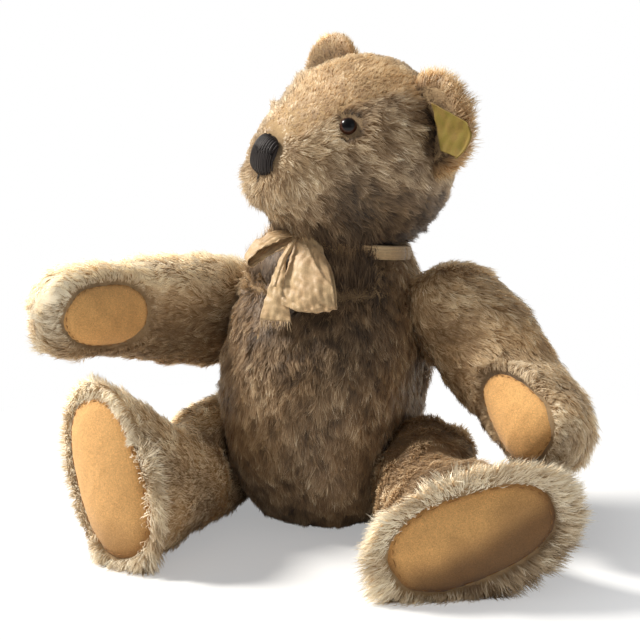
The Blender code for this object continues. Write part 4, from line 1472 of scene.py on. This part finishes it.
class BEAR_OT_nose(bpy.types.Operator):
    """Stitch the nose and mouth"""

    bl_idname = "bear.nose"
    bl_label = "Nose and mouth"

    def execute(self, context):
        colour = tuple(context.scene.bear_colours.thread)
        mat = finish("nose thread", thread_finish, "nose thread", colour, 0.55)
        rng = np.random.default_rng(17)
        wide, deep, tall = (h / MM for h in NOSE_HALF)
        parts = []
        for k in range(NOSE_THREADS):
            x = -wide * 0.93 + 2 * wide * 0.93 * k / (NOSE_THREADS - 1)
            size = math.sqrt(max(1 - (x / wide) ** 2, 0.0)) ** 0.75
            path = []
            low, high = -1.35 + rng.uniform(-0.06, 0.16), 1.30 + rng.uniform(-0.16, 0.06)
            for step in range(13):
                turn = low + (high - low) * step / 12
                y = deep * math.cos(turn) * size
                z = tall * math.sin(turn) * (0.30 + 0.70 * size)
                lean = 0.04 * z * (1 if k % 2 else -1) * rng.uniform(0.4, 1)
                right = NOSE_AT[0] + x * (1 - 0.10 * z / tall) + lean
                path.append(tuple(on_head(right, -NOSE_AT[1] + y - 0.3, NOSE_AT[2] + z)))
            parts.append(thread(path, rng.uniform(0.00052, 0.00064), 6, 0.6))
        base = joined_mesh("nose_stitches", parts, mat)
        under = ball("nose_under", 28, 18, 1.0, tuple(h * 0.93 for h in NOSE_HALF))
        under.data.transform(head_matrix() @ Matrix.Translation(Vector(NOSE_AT) * MM))
        under.data.materials.append(mat)
        under.data.shade_smooth()
        mouth = self.mouth(mat)
        for obj in (base, under, mouth):
            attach(obj, "head")
        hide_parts("nose")
        return {"FINISHED"}

    def mouth(self, mat):
        """A short line down from the nose and two slanting stitches."""
        tree = tree_of(bpy.data.objects["head_skin"])
        parts = []
        for line in MOUTH:
            path = []
            for k in range(9):
                x, z = smooth_line(line, k / 8)
                start = on_head(x, 100, z)
                hit = tree.ray_cast(start, (on_head(x, 0, z) - start).normalized(), 0.2)[0]
                lift = 0.0004 if 0 < k < 8 else -0.0006
                path.append(tuple(hit + (start - hit).normalized() * lift))
            parts.append(thread(path, 0.00062, 7, 0.5))
        return joined_mesh("mouth_stitches", parts, mat)


# Silk bow, its fray, and the ear tag

BOW = {
    "loop": (
        ((-10.2, -26.0, 178.6), (-8.6, -28.0, 177.8), (-7.0, -30.0, 177.0)),
        ((-16.8, -30.0, 179.0), (-14.5, -34.0, 177.7), (-12.2, -38.0, 175.4)),
        ((-23.4, -34.0, 177.5), (-20.3, -39.0, 175.4), (-17.2, -44.0, 172.8)),
        ((-30.7, -38.0, 173.2), (-26.9, -43.0, 171.8), (-22.5, -49.0, 169.7)),
        ((-35.4, -42.0, 165.6), (-32.2, -47.0, 164.9), (-28.9, -52.0, 163.5)),
        ((-34.8, -42.0, 162.1), (-30.9, -47.0, 160.8), (-27.5, -51.0, 159.3)),
        ((-29.3, -41.0, 166.5), (-25.3, -45.0, 164.7), (-21.3, -49.0, 163.0)),
        ((-23.8, -36.0, 171.7), (-20.0, -41.0, 169.2), (-16.4, -46.0, 166.6)),
        ((-17.7, -31.0, 175.2), (-14.2, -36.0, 172.6), (-10.8, -41.0, 170.0)),
        ((-10.4, -27.0, 177.5), (-8.8, -29.0, 176.7), (-7.1, -31.0, 175.9)),
    ),
    "front": (
        ((-5.8, -31.0, 177.2), (-1.6, -33.0, 178.7), (2.5, -32.0, 177.9), (6.3, -29.0, 175.4)),
        ((-6.9, -37.0, 171.5), (1.1, -40.0, 171.9), (8.2, -40.0, 170.6), (12.7, -36.0, 168.0)),
        ((-6.3, -45.0, 161.9), (4.1, -49.0, 162.1), (12.6, -48.0, 160.3), (19.6, -44.0, 160.2)),
        ((-5.0, -53.0, 151.9), (6.1, -56.0, 151.5), (17.0, -56.0, 150.7), (25.4, -51.0, 151.6)),
        ((-4.2, -58.0, 141.0), (6.7, -60.0, 139.4), (18.8, -60.0, 139.2), (29.3, -56.0, 140.3)),
        ((-4.6, -56.0, 139.4), (6.2, -57.5, 138.0), (18.3, -57.5, 137.8), (29.1, -53.5, 139.8)),
        ((-4.2, -54.0, 142.0), (5.6, -55.0, 141.3), (17.8, -55.0, 142.3), (28.0, -51.0, 144.2)),
        ((-5.9, -48.5, 152.8), (4.1, -50.5, 152.2), (14.4, -50.5, 151.8), (24.6, -46.5, 153.1)),
        ((-7.6, -41.0, 161.1), (1.2, -43.0, 162.1), (9.6, -43.0, 161.6), (18.6, -39.0, 160.4)),
        ((-5.7, -34.0, 172.3), (-1.3, -35.0, 172.8), (2.8, -34.0, 172.3), (6.5, -31.0, 171.5)),
    ),
    "tail": (
        ((-7.8, -31.0, 175.9), (-6.5, -31.0, 175.7), (-5.2, -31.0, 175.5)),
        ((-11.0, -38.0, 168.2), (-8.5, -39.0, 169.1), (-6.6, -39.0, 169.8)),
        ((-13.5, -45.0, 161.2), (-10.0, -46.0, 162.2), (-7.6, -45.0, 162.8)),
        ((-14.5, -51.0, 152.0), (-9.1, -52.0, 152.6), (-4.7, -51.0, 152.7)),
        ((-16.4, -55.0, 142.4), (-8.4, -56.0, 142.6), (-2.0, -54.0, 142.2)),
        ((-17.8, -59.0, 130.5), (-7.2, -60.0, 130.4), (1.9, -58.0, 130.3)),
    ),
    "fold": (
        ((-6.2, -33.0, 176.9), (-5.0, -34.0, 176.8), (-4.9, -33.0, 176.4)),
        ((-8.2, -41.0, 171.8), (-5.9, -43.0, 171.7), (-5.1, -42.0, 171.0)),
        ((-10.0, -48.0, 165.5), (-6.8, -50.5, 165.5), (-6.3, -49.0, 164.7)),
        ((-10.9, -53.5, 156.8), (-8.0, -56.0, 156.9), (-7.2, -55.0, 156.2)),
        ((-12.0, -56.0, 150.1), (-9.3, -58.0, 150.3), (-8.2, -57.0, 150.0)),
    ),
}
BOW_STEPS = {"loop": (72, 24), "front": (84, 34), "tail": (56, 24), "fold": (36, 10)}
BOW_CREASE = {"loop": (0.0004, 4.0), "front": (0.00028, 3.4), "tail": (0.00026, 3.0), "fold": (0.0002, 2.0)}
BAND_BELOW, BAND_TALL = 0.0030, 0.0085
KNOT_AT, KNOT_HALF = (-6, -29, 172.5), (6.0, 4.6, 5.2)
TAG = (
    ((66.2, -3.0, 254.8), (81.9, -11.8, 249.9), (98.6, -20.6, 244.5)),
    ((68.1, -4.5, 246.4), (83.0, -12.8, 242.6), (99.6, -21.4, 239.0)),
    ((70.9, -6.4, 236.9), (81.9, -12.7, 235.1), (96.3, -20.3, 231.4)),
    ((74.3, -8.6, 228.0), (81.6, -13.1, 226.8), (90.0, -17.7, 225.2)),
)
TAG_STEPS = (44, 40)
FRAY_THREADS = 46
CLOTH_THICK = 0.00035


def smooth_grid(table, rows, columns):
    """A fine grid of points, in metres, over a coarse table of places in mm."""
    across = [[smooth_line(row, c / (columns - 1)) for c in range(columns)] for row in table]
    return np.array([
        [smooth_line([row[c] for row in across], r / (rows - 1)) for c in range(columns)] for r in range(rows)
    ]) * MM


def grid_normals(grid):
    """The way each point of a grid of cloth faces."""
    return unit(np.cross(np.gradient(grid, axis=0), np.gradient(grid, axis=1)))


def creased(name, grid):
    """Gathers that run out from the knot, and crinkles all over."""
    rows, columns = grid.shape[:2]
    deep, folds = BOW_CREASE[name]
    part, side = np.meshgrid(np.linspace(0, 1, rows), np.linspace(0, 1, columns), indexing="ij")
    ends = part if name in ("tail", "fold") else 1 - np.abs(2 * part - 1)
    flat = grid.reshape(-1, 3)
    drift = waves(flat, 0.020, 61).reshape(rows, columns)
    gather = np.abs(np.sin(math.pi * (folds * side + 0.5 * drift))) * 2 - 1
    gather = gather * deep * (1.15 - 0.65 * ends)
    fine = waves(flat, 0.0052, 62).reshape(rows, columns) * 0.00022
    ridge = np.abs(waves(flat, 0.011, 63).reshape(rows, columns))
    crinkle = (0.35 - ridge) * 0.0009 * (0.35 + 0.65 * ends)
    low = fine + crinkle + gather
    if name == "front":
        line = side - (0.22 + 0.95 * np.clip(part / 0.42, 0, 1))
        low = low + 0.0015 * np.exp(-(line / 0.030) ** 2) * (part < 0.42)
        hem = np.exp(-((part - 0.40) / 0.055) ** 2)
        low = low + hem * 0.0009 * waves(flat, 0.0045, 64).reshape(rows, columns)
    return grid + grid_normals(grid) * low[:, :, None]


def band_grid(rows, columns):
    """The ribbon's turn round the neck, gathered, level with the slope of the neck."""
    slope = NECK[1][1] / NECK[1][2]
    wide, deep, shift = smooth_between(TORSO, NECK[0][2] - (BAND_BELOW + BAND_TALL) * 1000)
    grid = np.empty((rows, columns, 3))
    for r in range(rows):
        turn = 2 * math.pi * r / (rows - 1)
        for c in range(columns):
            part = c / (columns - 1)
            below = BAND_BELOW + BAND_TALL * part
            out = 0.0016 + 0.0007 * math.sin(math.pi * part)
            out = out + 0.0003 * math.sin(9 * math.pi * part + 2 * math.sin(3 * turn))
            x = math.cos(turn) * (wide * MM + out)
            y = math.sin(turn) * (deep * MM + out)
            grid[r, c] = (x, y + shift * MM, NECK[0][2] * MM - below - slope * y)
    return grid


def knot_grid(rows, columns):
    """A small turn of gathered silk over the crossing of the bow."""
    grid = np.empty((rows, columns, 3))
    for r in range(rows):
        turn = 2 * math.pi * r / (rows - 1)
        for c in range(columns):
            part = c / (columns - 1)
            lean = (part - 0.5) * math.pi * 0.86
            fat = math.cos(lean) ** 0.55 * (1 + 0.07 * math.sin(7 * math.pi * part + math.sin(2 * turn)))
            x = KNOT_AT[0] + KNOT_HALF[0] * math.sin(lean)
            y = KNOT_AT[1] + KNOT_HALF[1] * fat * math.cos(turn)
            z = KNOT_AT[2] + KNOT_HALF[2] * fat * math.sin(turn)
            grid[r, c] = (x, y, z)
    return grid * MM


def cloth_of(name, grids, mat, thick):
    """One object of several grids of cloth, each with its place on the map, and its one-sided area."""
    verts, faces, spots = [], [], []
    for k, grid in enumerate(grids):
        rows, columns = grid.shape[:2]
        start = len(verts)
        verts += [tuple(p) for p in grid.reshape(-1, 3)]
        for face in grid_faces(rows, columns):
            faces.append([start + c for c in face])
            for c in face:
                r, col = divmod(c, columns)
                high = (k + 0.04 + 0.92 * col / (columns - 1)) / len(grids)
                spots.append((0.02 + 0.96 * r / (rows - 1), high))
    mesh = bpy.data.meshes.new(name)
    mesh.from_pydata(verts, [], faces)
    layer = mesh.uv_layers.new(name="OFBake", do_init=False)
    layer.uv.foreach_set("vector", np.array(spots, np.float32).reshape(-1))
    mesh.materials.append(mat)
    obj = placed(name, mesh)
    area = sum(face.area for face in mesh.polygons)
    select_only(obj)
    step = obj.modifiers.new("thickness", "SOLIDIFY")
    step.thickness, step.offset = thick, 0.0
    bpy.ops.object.modifier_apply(modifier=step.name)
    mesh.shade_smooth()
    return obj, area


class BEAR_OT_ribbon(bpy.types.Operator):
    """Tie the creased silk ribbon: its turn round the neck, knot, loops and frayed tail"""

    bl_idname = "bear.ribbon"
    bl_label = "Silk bow"

    def execute(self, context):
        mat = finish("creased silk", silk_finish, context.scene.bear_colours)
        grids = [creased(name, smooth_grid(table, *BOW_STEPS[name])) for name, table in BOW.items()]
        grids.append(band_grid(97, 14))
        grids.append(knot_grid(49, 26))
        ribbon, area = cloth_of("silk_ribbon", grids, mat, CLOTH_THICK)
        fray = self.fray(grids[2], mat)
        for obj in (ribbon, fray):
            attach(obj, "torso")
        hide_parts("ribbon")
        return {"FINISHED"}

    def fray(self, tail, mat):
        """Loose threads along the cut end of the tail."""
        rng = np.random.default_rng(91)
        end, before = tail[-1], tail[-4]
        parts = []
        for _ in range(FRAY_THREADS):
            part = rng.uniform(0, 1)
            column = min(int(part * (len(end) - 1)), len(end) - 2)
            mix = part * (len(end) - 1) - column
            start = end[column] * (1 - mix) + end[column + 1] * mix
            way = unit((end[column] - before[column])[None])[0]
            way = unit((way + rng.normal(0, 0.20, 3))[None])[0]
            long = rng.uniform(0.0015, 0.0065)
            sway = rng.normal(0, 0.0007, 3)
            path = []
            for s in (0, 0.33, 0.66, 1.0):
                path.append(start - way * 0.001 + way * (long + 0.001) * s + sway * s * s)
            parts.append(thread(path, rng.uniform(0.00010, 0.00019), 5, 0.5))
        return joined_mesh("ribbon_fray", parts, mat)


class BEAR_OT_tag(bpy.types.Operator):
    """Sew the blank folded tag into the ear"""

    bl_idname = "bear.tag"
    bl_label = "Ear tag"

    def execute(self, context):
        mat = finish("tag cloth", tag_finish, context.scene.bear_colours)
        rows, columns = TAG_STEPS
        grid = smooth_grid(TAG, rows, columns)
        normal = grid_normals(grid)
        part, side = np.meshgrid(np.linspace(0, 1, rows), np.linspace(0, 1, columns), indexing="ij")
        bow = 0.0010 * np.sin(math.pi * part) - 0.0042 * step_up(side, 0.80, 1.0) ** 1.5
        low = bow + 0.0003 * waves(grid.reshape(-1, 3), 0.009, 71).reshape(rows, columns)
        tag, area = cloth_of("ear_tag_cloth", [grid - normal * low[:, :, None]], mat, 0.0006)
        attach(tag, "head")
        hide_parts("ear_tag")
        return {"FINISHED"}


# Hidden pieces by the ends of their names: finish, colour, dirt, roughness, blotches and metal
HARDWARE = (
    (("_disc_in", "_disc_out"), "fibre board", (150, 118, 84), (96, 70, 48), 0.9, 150.0),
    (("_washer_in", "_washer_out", "_pin"), "joint steel", (150, 148, 142), (92, 74, 58), 0.38, 220.0, 1.0),
    (("_stuffing",), "wood wool", (206, 184, 138), (150, 122, 80), 0.95, 260.0),
)


class BEAR_OT_hardware(bpy.types.Operator):
    """Finish the joint discs, washers, pins and stuffing inside the bear"""

    bl_idname = "bear.hardware"
    bl_label = "Discs and stuffing"

    def execute(self, context):
        for ends, title, colour, dark, *rest in HARDWARE:
            mat = finish(title, plain_finish, title, linear(*colour), linear(*dark), *rest)
            for name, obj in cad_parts.items():
                if name.endswith(ends):
                    for slot in obj.material_slots:
                        slot.material = mat
        return {"FINISHED"}


# Stage

CAMERA_AROUND, CAMERA_UP, CAMERA_FAR = 25.0, 12.0, 1.100
CAMERA_RIGHT, CAMERA_RISE = -0.006, 0.1175
LENS = 99.0
KEY_FROM = (-0.68, 0.72, -0.02)
FILL_FROM = (0.75, 0.25, 0.60)
# How far from the middle the floor begins to turn white, and where it is white
FLOOR_FADE = (0.16, 0.34)


def camera_ways():
    """The photograph's right, up and toward-the-camera directions."""
    around, rise = math.radians(CAMERA_AROUND), math.radians(CAMERA_UP)
    right = Vector((math.cos(around), math.sin(around), 0))
    back = Vector((math.sin(around) * math.cos(rise), -math.cos(around) * math.cos(rise), math.sin(rise)))
    return right, back.cross(right), back


class BEAR_OT_stage(bpy.types.Operator):
    """Set the pale floor, the studio light and the photograph's camera"""

    bl_idname = "bear.stage"
    bl_label = "Stage"

    def execute(self, context):
        stage = context.scene.bear_stage
        right, up, back = camera_ways()
        data = bpy.data.cameras.new("photo camera")
        data.sensor_width, data.lens = 36.0, LENS
        data.clip_start, data.clip_end = 0.05, 60.0
        camera = bpy.data.objects.new("photo camera", data)
        turn = Matrix((right, up, back)).transposed().to_4x4()
        spot = right * CAMERA_RIGHT + up * CAMERA_RISE + back * CAMERA_FAR
        camera.matrix_world = Matrix.Translation(spot) @ turn
        context.scene.collection.objects.link(camera)
        context.scene.camera = camera
        self.sun("key light", KEY_FROM, stage.key, 11.0, (1.0, 0.965, 0.90))
        self.sun("fill light", FILL_FROM, stage.fill, 40.0, (0.95, 0.97, 1.0))
        self.sky(context, stage.sky)
        self.ground(stage)
        context.scene.view_settings.view_transform = "Standard"
        return {"FINISHED"}

    def sun(self, name, ways, strength, spread, colour):
        """A distant lamp, placed by the camera's directions."""
        right, up, back = camera_ways()
        toward = (right * ways[0] + up * ways[1] + back * ways[2]).normalized()
        data = bpy.data.lights.new(name, "SUN")
        data.energy, data.angle, data.color = strength, math.radians(spread), colour
        lamp = bpy.data.objects.new(name, data)
        lamp.rotation_euler = toward.to_track_quat("Z", "Y").to_euler()
        lamp.location = toward * 2.0
        bpy.context.scene.collection.objects.link(lamp)

    def sky(self, context, strength):
        """Even light from all round; white where the camera sees past the floor."""
        world = bpy.data.worlds.new("studio")
        context.scene.world = world
        world.use_nodes = True
        tree = world.node_tree
        tree.nodes.clear()
        path = node(tree, "ShaderNodeLightPath")
        seen = reckoned(tree, "MAXIMUM", path.outputs["Is Camera Ray"], path.outputs["Is Transmission Ray"])
        soft = node(tree, "ShaderNodeBackground", {"Color": (0.93, 0.96, 1.0, 1), "Strength": strength})
        white = node(tree, "ShaderNodeBackground", {"Color": (1, 1, 1, 1), "Strength": 1.0})
        mix = node(tree, "ShaderNodeMixShader", {0: seen, 1: soft.outputs[0], 2: white.outputs[0]})
        node(tree, "ShaderNodeOutputWorld", {"Surface": mix.outputs[0]})

    def ground(self, stage):
        """A wide floor that keeps the bear's shadow and turns to white away from it."""
        bpy.ops.object.select_all(action="DESELECT")
        bpy.ops.mesh.primitive_circle_add(vertices=96, radius=8.0, fill_type="TRIFAN", location=(0, 0, 0))
        floor = bpy.context.object
        floor.name = "floor"
        floor.data.transform(Matrix.Translation((0, 0, -0.0002)))
        mat, tree, shader = fresh("pale floor")
        far = node(tree, "ShaderNodeVectorMath", {0: object_place(tree)}, operation="LENGTH").outputs["Value"]
        path = node(tree, "ShaderNodeLightPath")
        away = ranged(tree, far, FLOOR_FADE, (0.35, 1))
        glow = reckoned(tree, "MULTIPLY", away, path.outputs["Is Camera Ray"])
        white = node(tree, "ShaderNodeEmission", {"Color": (1, 1, 1, 1), "Strength": 1.0})
        feed(tree, shader, {"Base Color": stage.floor, "Roughness": 0.9})
        mix = node(tree, "ShaderNodeMixShader", {0: glow, 1: shader.outputs[0], 2: white.outputs[0]})
        feed(tree, tree.nodes["Material Output"], {"Surface": mix.outputs[0]})
        floor.data.materials.append(mat)


# The add-on

STEPS = (
    BEAR_OT_stage, BEAR_OT_torso, BEAR_OT_head, BEAR_OT_ears, BEAR_OT_limbs, BEAR_OT_pads,
    BEAR_OT_eyes, BEAR_OT_nose, BEAR_OT_ribbon, BEAR_OT_tag, BEAR_OT_hardware,
)
GROUPS = {"bear_pile": BearPile, "bear_colours": BearColours, "bear_stage": BearStage}


class BEAR_PT_panel(bpy.types.Panel):
    """The bear's pieces and settings"""

    bl_idname = "BEAR_PT_panel"
    bl_label = "Threadbare bear"
    bl_space_type = "VIEW_3D"
    bl_region_type = "UI"
    bl_category = "Bear"

    def draw(self, context):
        for step in STEPS:
            self.layout.operator(step.bl_idname)
        for key, group in GROUPS.items():
            box = self.layout.box()
            for name in group.__annotations__:
                box.prop(getattr(context.scene, key), name)


def register():
    """Make the settings, operators and panel known."""
    for group in GROUPS.values():
        bpy.utils.register_class(group)
    for key, group in GROUPS.items():
        setattr(bpy.types.Scene, key, bpy.props.PointerProperty(type=group))
    for cls in (*STEPS, BEAR_PT_panel):
        bpy.utils.register_class(cls)


def unregister():
    """Take them away again."""
    for cls in (*reversed(STEPS), BEAR_PT_panel):
        bpy.utils.unregister_class(cls)
    for key, group in GROUPS.items():
        delattr(bpy.types.Scene, key)
        bpy.utils.unregister_class(group)


def main():
    """Dress the whole bear, piece by piece."""
    register()
    bpy.ops.object.select_all(action="DESELECT")
    for step in STEPS:
        group, name = step.bl_idname.split(".")
        getattr(getattr(bpy.ops, group), name)()


if __name__ == "__main__":
    main()
